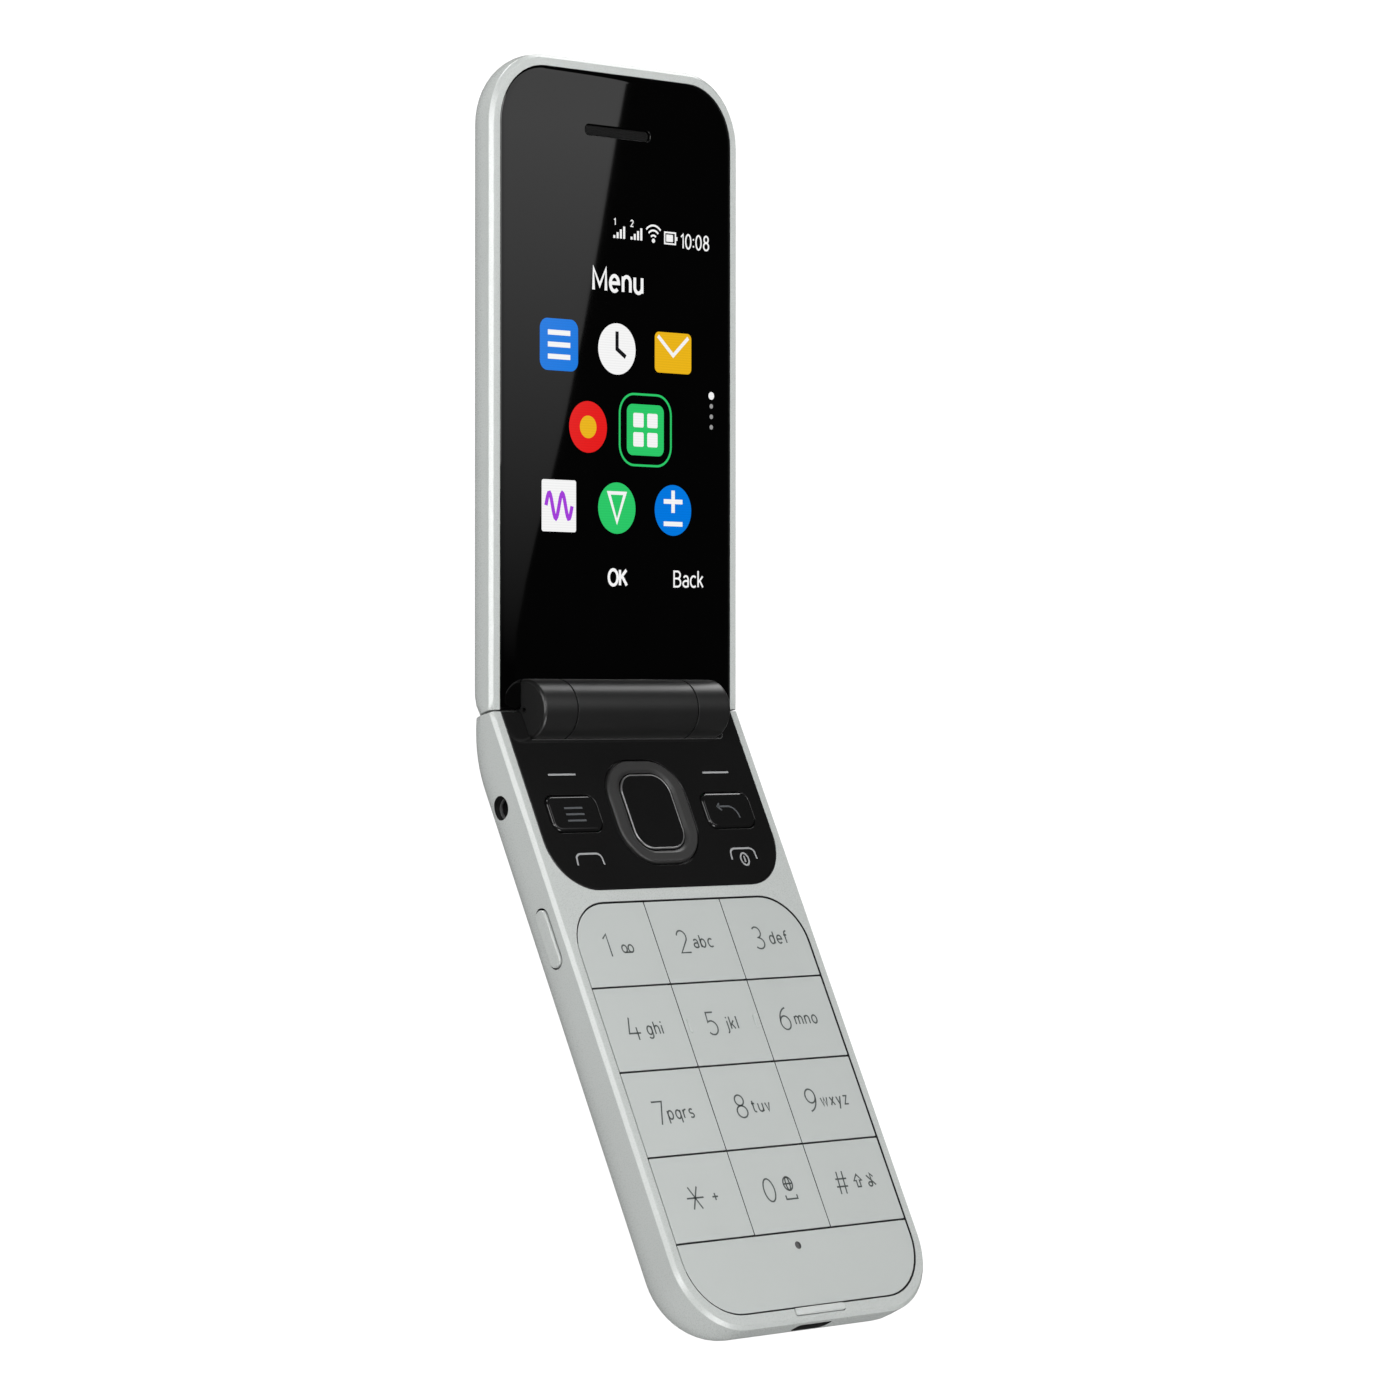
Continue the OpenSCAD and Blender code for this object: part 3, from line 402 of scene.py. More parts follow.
wide = 40.0
long = 120.0
past_hinge = 6.0
through = 0.5
front_t = 1.75
plate_top = 3.7
plate_bottom = 4.4
plate_edges = (-wide, wide, -96.85, -30.97)
room_y = -6.35
room_r = corner_r - base_shell
room_hw = half_w - base_shell
room_end = -base_len + base_shell
room_bend = 0.88
cover_split = 9.0
cover_y = -9.0
panel_hw = 25.14
panel_end = -30.87
panel_r = 8.5
panel_t = 0.9
panel_ledge = 1.2
panel_edges = (-panel_hw, panel_hw, panel_end, past_hinge)
panel_room = (-panel_hw + panel_ledge, panel_hw - panel_ledge, panel_end + panel_ledge, room_y)
pad_hw = 25.0
pad_top = -33.22
pad_bottom = -100.92
pad_top_r = 8.0
pad_bottom_r = 9.3
pad_edges = (-pad_hw, pad_hw, pad_bottom, pad_top)
pad_radii = np.array([pad_top_r, pad_bottom_r, pad_bottom_r, pad_top_r])
pad_groove = 0.22
pad_depth = 1.4
pad_ledge = 1.2
ledge_top = 0.4
recess_soft = 0.08
barrel_r = 4.85
barrel_half = 20.57
pocket_gap = 0.3
pocket_half = barrel_half + pocket_gap
jack_place = on_wall(-1, -14.5, 5.0)
jack_r = 1.8
jack_seat_r = 2.1
jack_mouth = 1.1
jack_chamfer = 0.3
usb_w = 7.5
usb_h = 2.5
usb_place = on_end(3.1)
usb_mouth = 0.7
usb_mouth_edges = about(7.2, 2.75)
usb_mouth_radii = (0.5, 1.1, 1.1, 0.5)
usb_mouth_soft = 0.06
usb_tunnel_edges = about(usb_w + 0.1, usb_h + 0.16)
usb_tunnel_r = 0.6
usb_tunnel_end = base_shell + 6
overlap = 0.02
side_key_l = 9.5
volume_key_l = 18.0
side_key_h = 2.6
side_key_y = -37.25
side_key_depth = 3.6
slide = 0.2
bumper_edges = (-5.35, 5.35, -102.3, -101.12)
bumper_gap = 0.12
bumper_seat_r = 0.45
bumper_seat_t = 0.55


def room(top, bottom):
    """Cutting block for the inside of the base: the outer shape drawn in by the shell's thickness, less
    the plate that parts the keys from the battery."""
    depth = np.linspace(top, bottom, 14)
    sweep = np.arcsin(np.clip((depth - base_wall_drop) / base_edge_r, 0, room_bend))
    inset = (base_edge_r - base_shell) * (1 - np.cos(sweep))
    edges = (-room_hw, room_hw, room_end, (room_y + inset)[:, None])
    block = loft("cut", stack(edges, far_round(room_r), inset, depth))
    carve(block, [prism(plate_edges, 0, plate_top, plate_bottom)], "DIFFERENCE", recess_shade_lining)
    return block


def side_slot(side, length):
    """Cutting block for the slot of a key in a side wall."""
    edges = about(length + 2 * slide, side_key_h + 2 * slide)
    return hollow(edges, side_key_h / 2 + slide - nearly, base_shell + through,
                  place=on_wall(side, side_key_y, side_key_depth))


housing_rings = half_rings(base_len, base_wall_drop, base_edge_r, base_back_start, base_back_r)
housing = loft("housing_shell", housing_rings)
settle(housing, shell_paint, "base", "shell", "base_housing", lining=recess_shade_lining, cuts=[
    prism((-wide, wide, -long, cover_y), 0, cover_split, base_t + spare),
    room(front_t, cover_split + through),
    hollow(grown(panel_edges, seat), far_round(panel_r + seat), panel_t + seat, recess_soft),
    prism(panel_room, far_round(panel_r - panel_ledge), ledge_top, front_t + through),
    hollow(grown(pad_edges, pad_groove), pad_radii + pad_groove, pad_depth, recess_soft),
    prism(grown(pad_edges, -pad_ledge), pad_radii - pad_ledge, ledge_top, front_t + through),
    bore(-pocket_half, pocket_half, barrel_r + pocket_gap),
    hollow(*circle(jack_r), jack_mouth, jack_chamfer, jack_place),
    prism(*circle(jack_seat_r), jack_mouth - overlap, base_shell + spare, jack_place),
    hollow(usb_mouth_edges, usb_mouth_radii, usb_mouth + overlap, usb_mouth_soft, usb_place),
    prism(usb_tunnel_edges, usb_tunnel_r, usb_mouth, usb_tunnel_end, usb_place),
    side_slot(-1, side_key_l),
    side_slot(1, volume_key_l),
    prism(grown(bumper_edges, bumper_gap), bumper_seat_r, -spare, bumper_seat_t),
])

# Rear cover
# The removable back of the base: a thin painted lid of the same plastic, clipped on round its rim,
# with five slots for the loudspeaker near the bottom end.

cover_t = 1.2
cover_gap = 0.2
cover_soft = 0.12
cover_steps = 8
cover_room_r = 3.0
speaker_pitch = 3.0
speaker_y = -91.675
speaker_w = 1.2
speaker_l = 5.0
cover_top = cover_split + seat
cover_turn = np.linspace(np.arcsin((cover_top + cover_soft - base_wall_drop) / base_edge_r), np.pi / 2, 12)
cover_inset = base_edge_r * (1 - np.cos(cover_turn))
cover_inset = np.append(cover_inset[0] + cover_soft, cover_inset)
cover_depth = np.append(cover_top, base_wall_drop + base_edge_r * np.sin(cover_turn))
cover_edges = (-half_w, half_w, -base_len, (cover_y - cover_gap + cover_inset)[:, None])
cover_rings = stack(cover_edges, half_radii, cover_inset, cover_depth, cover_steps)
cover_room = grown((-half_w, half_w, -base_len, cover_y), -base_edge_r)
speaker_slots = [prism(about(speaker_w, speaker_l, speaker_pitch * i, speaker_y), speaker_w / 2 - nearly,
                       cover_split - spare, base_t + spare) for i in range(-2, 3)]
settle(loft("rear_cover_skin", cover_rings), shell_paint, "base", "shell", "rear_cover", lining=recess_shade_lining,
       cuts=[prism(cover_room, cover_room_r, cover_split - spare, base_t - cover_t)] + speaker_slots)

# Control panel
# A glossy black moulded plate glued into the recess below the hinge. Its soft-key dashes and the two
# handset arcs are printed on it; the ring and two keys come up through it.

panel_top = -0.12
panel_corner_r = 0.3
panel_soft = 0.15
foot_y = -4.93
foot_r = 0.8
foot_soft = 0.12
foot_edges = (-pocket_half, pocket_half, foot_y, past_hinge)
ring_y = -17.85
ring_w = 16.9
ring_l = 17.8
ring_r = 6.5
ring_gap = 0.3
ring_edges = about(ring_w, ring_l, 0, ring_y)
menu_x = 16.9
menu_w = 10.6
menu_l = 6.1
menu_r = 1.7


def slab(name, edges, radii, top, bottom, edge, place=on_base):
    """Plate of a rounded rectangle with a quarter circle along its upper edges."""
    inset, down = rounding(edge)
    return loft(name, stack(edges, radii, np.append(inset, 0), np.append(top + down, bottom)), place)


# Near-black gloss plastic: a deep colour with faint clouds, and a polish that a thumb has dulled.
gloss_coat = coat(grey(0.006), grey(0.008), (14.0, 3.0), 0.09, 0.05, grain=(5.0, 4.0))
gloss_black = finish("gloss_black_panel", gloss_coat)
panel = slab("panel_plate", (-panel_hw, panel_hw, panel_end, panel_top),
             (panel_corner_r, panel_r, panel_r, panel_corner_r), 0, panel_t, panel_soft)
settle(panel, gloss_black, "base", "panel", "control_panel", cuts=[
    hollow(foot_edges, far_round(foot_r), panel_t + spare, foot_soft),
    hollow(grown(ring_edges, ring_gap), ring_r + ring_gap, panel_t + spare),
    *(hollow(grown(about(menu_w, menu_l, x, ring_y), slide), menu_r + slide, panel_t + spare)
      for x in (-menu_x, menu_x)),
])


def arc(x, y, rx, ry, start, stop):
    """Part of an ellipse, between two angles in degrees."""
    turn = np.radians(np.linspace(start, stop, 2 + int(abs(stop - start) // 12)))
    return np.stack([x + rx * np.cos(turn), y + ry * np.sin(turn)], -1)


def draw(*pieces):
    """One stroke through points and arcs, in this order."""
    return np.concatenate([np.atleast_2d(np.asarray(piece, float)) for piece in pieces])


def ribbon(line, width, top, bottom):
    """One printed stroke: a flat rectangle carried along a line and mitred at its bends. A line that
    ends where it starts is closed. Points that repeat the one before are dropped."""
    apart = ~np.isclose(np.diff(line, axis=0), 0).all(1)
    line = line[np.append(True, apart)]
    closed = np.allclose(line[0], line[-1])
    line = line[:-1] if closed else line
    ahead = np.roll(line, -1, 0) - line
    ahead /= np.linalg.norm(ahead, axis=1, keepdims=True)
    behind = np.roll(ahead, 1, 0)
    if not closed:
        ahead[-1] = behind[-1]
        behind[0] = ahead[0]
    along = ahead + behind
    along /= np.linalg.norm(along, axis=1, keepdims=True)
    widen = width / 2 / np.maximum((along * ahead).sum(1), 0.6)
    side = np.stack([-along[:, 1], along[:, 0]], -1) * widen[:, None]
    section = ((1, top), (-1, top), (-1, bottom), (1, bottom))
    rings = np.stack([np.insert(line + s * side, 2, z, axis=1) for s, z in section], 1)
    index = np.arange(rings[..., 0].size).reshape(-1, 4)
    onward = np.roll(index, -1, 0)
    ends = [index[:1, ::-1], index[-1:]]
    if not closed:
        index, onward = index[:-1], onward[:-1]
    faces = np.stack([index, np.roll(index, -1, 1), np.roll(onward, -1, 1), onward], -1).reshape(-1, 4)
    return rings.reshape(-1, 3), faces if closed else np.concatenate([faces, *ends])


def printed(name, strokes, width, height, place=on_base, thick=0.012):
    """Strokes printed on a face at this height, as one mesh."""
    parts = [ribbon(stroke, width, height + thick, height - thick) for stroke in strokes]
    starts = np.cumsum([0] + [len(points) for points, _ in parts[:-1]])
    faces = np.concatenate([faces + start for (_, faces), start in zip(parts, starts)])
    return add_mesh(name, place(np.concatenate([points for points, _ in parts])), faces)


def print_ink(name, dark, light):
    """Printing ink with a fine speckle."""
    return finish(name, coat(dark, light, (0.1, 2.0), 0.4, 0.15))


silver_print = print_ink("silver_print", grey(0.3, -0.02), grey(0.36, -0.02))
# A thin grey line printed along the barrel's foot, turning up at its right end: a painted highlight of the edge
# there.
foot_highlight_ink = print_ink("foot_highlight_ink", grey(0.03), grey(0.04))
highlight_gap = 0.1
highlight_end = 21.5
highlight_r = foot_r + highlight_gap
foot_highlight_line = draw((-barrel_half, foot_y - highlight_gap),
                 arc(highlight_end - foot_r, foot_y + foot_r, highlight_r, highlight_r, -90, 0))
settle(printed("panel_foot_bead", [foot_highlight_line], 0.16, 0), foot_highlight_ink, "base", "panel")
dash_y = -11.1
call_arc = draw((-19.57, -26.65), arc(-18.35, -25.6, 1.1, 0.87, 170, 90),
                arc(-15.15, -25.6, 1.1, 0.87, 90, 10), (-13.95, -26.65))
end_arc = call_arc + [33.75, 0.12]
marks = [draw((-19.64, dash_y), (-13.83, dash_y)), draw((14.15, dash_y), (19.98, dash_y)), call_arc, end_arc,
         arc(17.0, -26.5, 0.85, 1.05, 90, 450), draw((17.0, -25.95), (17.0, -27.0))]
settle(printed("panel_marks", marks, 0.31, 0), silver_print, "base", "satin")

# Direction ring
# A satin dark grey plastic ring that tips four ways round the centre key, with a soft outer shoulder
# and a face that dips towards the middle. Its carrier under the panel holds it in.

ok_w = 10.8
ok_l = 13.0
ok_r = 3.4
ok_gap = 0.25
ok_edges = about(ok_w, ok_l, 0, ring_y)


def rim(edges, radii, inset=0.0):
    """Outline of a rounded rectangle drawn in by an inset, for a band."""
    return outline(*edges, radii, [inset])


def band(name, outer, inner, share, depth, place=on_base):
    """Closed band between two outlines: a cross-section carried round them, each of its points a share of
    the way from the outer one to the inner one, at its own depth."""
    share = np.asarray(share, float)[:, None, None]
    rings = at_depth(outer * (1 - share) + inner * share, depth)
    index = np.arange(rings[..., 0].size).reshape(rings.shape[:2])
    onward = np.roll(index, -1, 0)
    faces = np.stack([index, onward, np.roll(onward, -1, 1), np.roll(index, -1, 1)], -1).reshape(-1, 4)
    return add_mesh(name, place(rings), faces)


def satin(name, value, rough):
    """Dark satin plastic with the fine even grain of a spark-eroded mould."""
    return finish(name, coat(grey(value * 0.9, 0.01), grey(value * 1.1, 0.01), (7.0, 3.0), rough, 0.12,
                             grain=(0.14, 2.0), lift=0.004))


ring_share = [0, 0, 0.015, 0.06, 0.13, 0.17, 0.2, 0.5, 0.74, 0.79, 0.95, 0.985, 1, 1]
ring_depth = [0.95, 0.0, -0.16, -0.3, -0.38, -0.4, -0.37, -0.38, -0.38, -0.36, -0.12, -0.08, 0, 0.95]
ring_hole = rim(grown(ok_edges, ok_gap), ok_r + ok_gap)
ring = band("ring_face", rim(ring_edges, ring_r), ring_hole, ring_share, ring_depth)
settle(ring, satin("ring_satin", 0.023, 0.34), "direction_ring", "satin", "direction_ring")

# Centre key
# A glossy black press key inside the ring, with a thin bright frame let into its edge and a stem that
# reaches down to its dome switch.

stem_r = 1.3
stem_end = 1.65
stem_root = 0.1
ok_rise = 0.2
ok_bottom = 0.75
ok_soft = 0.2
trim_w = 0.27


def stem(x, y, bottom):
    """Round stem below a key, as a block to join to it."""
    return prism(*circle(stem_r, x, y), bottom - stem_root, stem_end)


ok_cap = slab("centre_key_top", ok_edges, ok_r, -ok_rise, ok_bottom, ok_soft)
settle(ok_cap, gloss_black, "centre_key", "panel", "centre_key", joins=[stem(0, ring_y, ok_bottom)])
# Bright vacuum-plated trim with faint polishing clouds.
silver_trim = finish("silver_trim", coat(grey(0.3), grey(0.38), (2.0, 3.0), 0.25, 0.1), Metallic=0.85)
trim = band("centre_key_frame", rim(ok_edges, ok_r), rim(ok_edges, ok_r, trim_w),
            [0, 0, 0.15, 0.4, 0.75, 0.95, 1, 1], [0.2, -0.14, -0.23, -0.27, -0.27, -0.24, -0.17, 0.2])
settle(trim, silver_trim, "centre_key", "metal")

# Menu and back keys
# Two raised gloss black keys beside the ring, with printed marks: three bars for the menu and a bent
# arrow for going back.

menu_rise = 0.3
menu_soft = 0.5
menu_bottom = panel_t + 0.1
arrow_y = ring_y + 0.57
menu_print = print_ink("faint_print", grey(0.06, -0.08), grey(0.085, -0.08))
menu_bars = [draw((-18.9, ring_y + dy), (-15.0, ring_y + dy)) for dy in (0.85, -0.22, -1.3)]
back_arrow = [draw((14.6, arrow_y), arc(16.9, arrow_y - 2.05, 1.9, 2.05, 90, 0)),
              draw((15.1, arrow_y + 0.55), (14.5, arrow_y), (15.35, arrow_y - 0.7))]
for name, x, strokes, width in (
    ("menu_key", -menu_x, menu_bars, 0.32),
    ("back_key", menu_x, back_arrow, 0.3),
):
    cap = slab(name + "_top", about(menu_w, menu_l, x, ring_y), menu_r, -menu_rise, menu_bottom, menu_soft)
    settle(cap, gloss_black, name, "panel", name, joins=[stem(x, ring_y, menu_bottom)])
    settle(printed(name + "_mark", strokes, width, menu_rise), menu_print, name, "satin")

# Number keys
# Twelve flat caps in painted plastic, level with the rim, that lie on one rubber mat. The gaps between
# rows are wide, those between columns hairlines. Digits and letters are printed in grey.

row_pitch = 13.95
col_pitch = 2 * pad_hw / 3
row_groove = 0.3
col_groove = 0.18
key_drop = 0.08
key_t = 0.87
key_soft = 0.06
key_r = 0.15
# Depth below a key's face where the painted shade on its sides begins.
gap_shade_depth = 0.05
key_names = ["key_1", "key_2", "key_3", "key_4", "key_5", "key_6",
             "key_7", "key_8", "key_9", "key_star", "key_0", "key_hash"]


def paint_keys_and_gap_shade(wire):
    """The shell's grey on the faces of the keycaps, and over the pad's outer left edge where light falls. Below
    the faces, the other sides of the keys are dark: painted shade in the gaps between keys and round the pad."""
    cloud = wire.noise(11.0, 3.0)
    grain = wire.noise(0.12, 1.0)
    x, _, z = (wire.node("ShaderNodeSeparateXYZ", {}, {0: wire.place()}, output=i) for i in range(3))
    top = z > (base_t - key_drop - gap_shade_depth) * MM
    outside_gap_shade = wire.math("MAXIMUM", top, x < (-pad_hw + col_groove) * MM)
    colour = wire.mix(cloud, (0.45, 0.474, 0.462, 1), (0.474, 0.498, 0.486, 1))
    # grey(0.05) below the faces is painted shade between the keys and round the pad; the faces keep the paint.
    return {"Base Color": wire.mix(outside_gap_shade, grey(0.05), colour),
            "Roughness": 0.32 + 0.1 * grain,
            "Normal": wire.bump(grain, 0.002)}


key_paint_and_gap_shade = finish("keycap_paint_and_gap_shade", paint_keys_and_gap_shade)
ink = print_ink("legend_ink", (0.052, 0.062, 0.06, 1), (0.07, 0.08, 0.078, 1))

# Each sign is a few strokes. Digits are 1 high, small letters have an x-height of 1.
six = [arc(.3, .31, .28, .31, 180, 540), arc(.6, .31, .58, .69, 100, 180)]
tall = draw((0, 1.5), (0, 0))
short = draw((0, 1), (0, 0))
arch = draw(arc(.33, .62, .33, .38, 180, 0), (.66, 0))
bowl_left = arc(.36, .5, .36, .5, 180, 540)
bowl_right = arc(.36, .5, .36, .5, 0, 360)
signs = {
    "0": [arc(.3, .5, .3, .5, 90, 450)],
    "1": [draw((.02, .8), (.26, 1), (.26, 0))],
    "2": [draw(arc(.28, .72, .26, .28, 165, -35), (.02, 0), (.58, 0))],
    "3": [draw(arc(.25, .755, .24, .245, 140, -90), arc(.25, .255, .29, .255, 90, -140))],
    "4": [draw((.2, 1), (0, .3), (.64, .3)), draw((.46, .56), (.46, 0))],
    "5": [draw((.5, 1), (.1, 1), arc(.24, .31, .3, .31, 125, -140))],
    "6": six,
    "7": [draw((0, 1), (.58, 1), (.24, 0))],
    "8": [arc(.3, .767, .24, .233, -90, 270), arc(.3, .263, .29, .263, 90, 450)],
    "9": [[.6, 1] - stroke for stroke in six],
    "*": [draw((0, .5), (.94, .5)), draw((.22, .02), (.72, .98)), draw((.72, .02), (.22, .98))],
    "#": [draw((.14, 0), (.22, 1)), draw((.46, 0), (.54, 1)),
          draw((0, .33), (.66, .33)), draw((.04, .67), (.7, .67))],
    "+": [draw((0, .5), (.9, .5)), draw((.45, .05), (.45, .95))],
    ":": [draw((.05, .62), (.05, .74)), draw((.05, .12), (.05, .24))],
    "a": [draw(arc(.36, .68, .3, .32, 150, 0), (.66, 0)), arc(.38, .28, .37, .28, 45, 315)],
    "b": [tall, bowl_left],
    "c": [arc(.4, .5, .4, .5, 50, 310)],
    "d": [tall + [.72, 0], bowl_right],
    "e": [draw((.04, .52), arc(.38, .5, .37, .5, 3, 315))],
    "f": [draw((.2, 0), arc(.5, 1.2, .3, .3, 180, 75)), draw((0, 1), (.5, 1))],
    "g": [bowl_right, draw((.72, 1), arc(.37, -.12, .35, .34, 0, -150))],
    "h": [tall, arch],
    "i": [draw((.05, 1), (.05, 0)), draw((.05, 1.3), (.05, 1.48))],
    "j": [draw((.28, 1), arc(.02, -.15, .26, .3, 0, -90)), draw((.28, 1.3), (.28, 1.48))],
    "k": [tall, draw((.58, 1), (.02, .42)), draw((.2, .6), (.62, 0))],
    "l": [tall],
    "m": [short] + [draw(arc(x, .66, .29, .34, 180, 0), (x + .29, 0)) for x in (.29, .87)],
    "n": [short, arch],
    "o": [arc(.38, .5, .38, .5, 90, 450)],
    "p": [draw((0, 1), (0, -.5)), bowl_left],
    "q": [draw((.72, 1), (.72, -.5)), bowl_right],
    "r": [short, arc(.4, .6, .4, .4, 180, 80)],
    "s": [draw(arc(.3, .75, .27, .25, 40, 270), arc(.3, .25, .3, .25, 90, -140))],
    "t": [draw((.2, 1.35), arc(.46, .28, .26, .28, 180, 290)), draw((0, 1), (.5, 1))],
    "u": [draw((0, 1), arc(.33, .38, .33, .38, 180, 360)), draw((.66, 1), (.66, 0))],
    "v": [draw((0, 1), (.33, 0), (.66, 1))],
    "w": [draw((0, 1), (.25, 0), (.5, 1), (.75, 0), (1, 1))],
    "x": [draw((0, 1), (.62, 0)), draw((.62, 1), (0, 0))],
    "y": [draw((0, 1), (.34, 0)), draw((.66, 1), (.16, -.5))],
    "z": [draw((0, 1), (.58, 1), (0, 0), (.6, 0))],
    "M": [draw((0, 0), (0, 1.4), (.55, .3), (1.1, 1.4), (1.1, 0))],
    "O": [arc(.55, .7, .55, .7, 90, 450)],
    "K": [draw((0, 1.4), (0, 0)), draw((.8, 1.4), (.02, .6)), draw((.25, .85), (.85, 0))],
    "B": [draw((.4, .75), (0, .75), (0, 1.4), arc(.42, 1.075, .36, .325, 90, -90)),
          draw((0, .75), (0, 0), arc(.42, .375, .42, .375, -90, 90))],
}


def lettering(text, x, y, size, gap=0.28, slim=1.0):
    """Strokes of a word of this size, its middle at x and its foot at y."""
    strokes = []
    pen = 0.0
    for letter in text:
        glyph = signs[letter]
        low = min(stroke[:, 0].min() for stroke in glyph)
        high = max(stroke[:, 0].max() for stroke in glyph)
        strokes += [(stroke - [low, 0]) * [slim, 1] + [pen, 0] for stroke in glyph]
        pen += (high - low) * slim + gap
    return [(stroke - [(pen - gap) / 2, 0]) * size + [x, y] for stroke in strokes]


digit_h = 3.75
letter_h = 1.38
letter_gap = 0.47
letter_foot = -0.8 * letter_h
legend_w = 0.27
legends = {
    "key_1": ("1", -2.4, "", 0), "key_2": ("2", -2.65, "abc", 1.55), "key_3": ("3", -2.6, "def", 1.9),
    "key_4": ("4", -2.55, "ghi", 1.75), "key_5": ("5", -2.45, "jkl", 1.8), "key_6": ("6", -2.95, "mno", 1.75),
    "key_7": ("7", -3.0, "pqrs", 1.35), "key_8": ("8", -2.2, "tuv", 2.1), "key_9": ("9", -3.2, "wxyz", 1.85),
    "key_star": ("*", -1.45, "", 0), "key_0": ("0", -2.15, "", 0), "key_hash": ("#", -2.75, "", 0),
}
signs_beside = {
    "key_1": [arc(x, -.7, .52, .62, 90, 450) for x in (1.05, 2.4)] + [draw((1.05, -1.32), (2.4, -1.32))],
    "key_star": lettering("+", 2.75, -0.75, 1.3),
    "key_0": [arc(2.2, .75, .95, 1.1, 90, 450), arc(2.2, .75, .4, 1.1, 90, 450), draw((1.3, .75), (3.1, .75)),
              draw((.95, -1.1), (.95, -1.75), (3.35, -1.75), (3.35, -1.1))],
    "key_hash": [draw((.6, -.95), (.6, .1), (.1, .1), (.95, 1.1),
                      (1.8, .1), (1.3, .1), (1.3, -.95), (.6, -.95)),
                 arc(3.55, -.7, .4, .35, 0, 360), draw((3.95, -.7), (3.95, 1.05), (4.5, .5)),
                 draw((3.1, .8), (4.7, -.9))],
}
for i, name in enumerate(key_names):
    column, row = i % 3, i // 3
    x0 = -pad_hw + column * col_pitch + (col_groove / 2 if column > 0 else 0)
    x1 = -pad_hw + (column + 1) * col_pitch - (col_groove / 2 if column < 2 else 0)
    y0 = pad_top - (row + 1) * row_pitch + row_groove / 2
    y1 = pad_top - row * row_pitch - (row_groove / 2 if row > 0 else 0)
    radii = (pad_top_r if i == 2 else key_r, key_r, key_r, pad_top_r if i == 0 else key_r)
    cap = slab(name + "_cap", (x0, x1, y0, y1), radii, key_drop, key_drop + key_t, key_soft)
    settle(cap, key_paint_and_gap_shade, name, "shell", name)
    centre = [(column - 1) * col_pitch, pad_top - (row + 0.5) * row_pitch]
    digit, digit_x, word, word_x = legends[name]
    strokes = lettering(digit, digit_x, -digit_h / 2, digit_h)
    strokes += lettering(word, word_x, letter_foot, letter_h, letter_gap) + signs_beside.get(name, [])
    legend = printed(name + "_legend", [stroke + centre for stroke in strokes], legend_w, -key_drop)
    settle(legend, ink, name, "satin")
nib_w = 0.8
nib_l = 2.4
nib_x = 7.25
nib_y = pad_top - 1.5 * row_pitch - 0.1
nib_rise = 0.2
nib_root = 0.1
for name, x in (("key_5_nib_left", -nib_x), ("key_5_nib_right", nib_x)):
    nib = slab(name, about(nib_w, nib_l, x, nib_y), nib_w / 2 - nearly, key_drop - nib_rise,
               key_drop + nib_root, nib_rise)
    settle(nib, key_paint_and_gap_shade, "key_5", "shell")

# Chin plate
# The fixed plate below the keys, in the same painted plastic, glued down. The microphone listens
# through the small round hole in its middle, which a grey gauze closes a little way down.

chin_top = -89.02
mic_y = -91.27
mic_r = 0.63
mic_drop = 0.35
chin_edges = (-pad_hw, pad_hw, pad_bottom, chin_top - row_groove / 2)
chin_radii = (key_r, pad_bottom_r, pad_bottom_r, key_r)
chin = slab("chin_cover", chin_edges, chin_radii, key_drop, pad_depth, key_soft)
settle(chin, key_paint_and_gap_shade, "base", "shell", "chin_plate", lining=print_ink("gauze_grey", grey(0.07), grey(0.13)),
       cuts=[prism(*circle(mic_r, 0, mic_y), -spare, key_drop + mic_drop)])

# Closing bumper
# A small tab of pale soft plastic pressed into the rim at the bottom end, which keeps the shut lid off
# the keys. Its skin is finely matt.

bumper_rise = 0.3
bumper_r = 0.35
bumper_t = 0.5
tab_coat = coat((0.5, 0.522, 0.51, 1), (0.55, 0.572, 0.56, 1), (0.15, 2.0), 0.5, 0.15, lift=0.003)
bumper = slab("bumper_tab", bumper_edges, bumper_r, -bumper_rise, bumper_t, bumper_rise)
settle(bumper, finish("pale_tab", tab_coat), "base", "shell", "closing_bumper")

# Side keys
# Two painted pill keys in the side walls: one short key on the left, and a volume rocker on the right.
# They lie in slots and press on switches behind the wall.

side_key_rise = 0.35
for name, length, side in (("side_key", side_key_l, -1), ("volume_key", volume_key_l, 1)):
    pill = slab(name + "_cap", about(length, side_key_h), side_key_h / 2 - nearly, -side_key_rise,
                base_shell + through, side_key_rise, on_wall(side, side_key_y, side_key_depth))
    settle(pill, shell_paint, name, "shell", name)

# Sockets
# The headphone socket is a black moulded sleeve behind a round hole in the left wall, with a sprung
# contact inside. The charging socket is a folded steel shell with a tongue, open at the bottom end.


line_scale = (9000, 250, 9000)


def rolled(name, value, **fixed):
    """Rolled steel with fine lines along Y."""
    def paint(wire):
        stretched = wire.node("ShaderNodeMapping", {}, {"Vector": wire.place(), "Scale": line_scale})
        lines = wire.node("ShaderNodeTexNoise", {}, {"Vector": stretched, "Scale": 1.0, "Detail": 2.0})
        return {"Base Color": wire.mix(lines, grey(value * 0.85, -0.01), grey(value * 1.15, -0.01)),
                "Roughness": 0.22 + 0.2 * lines,
                "Normal": wire.bump(lines, 0.001)}
    return finish(name, paint, **fixed)


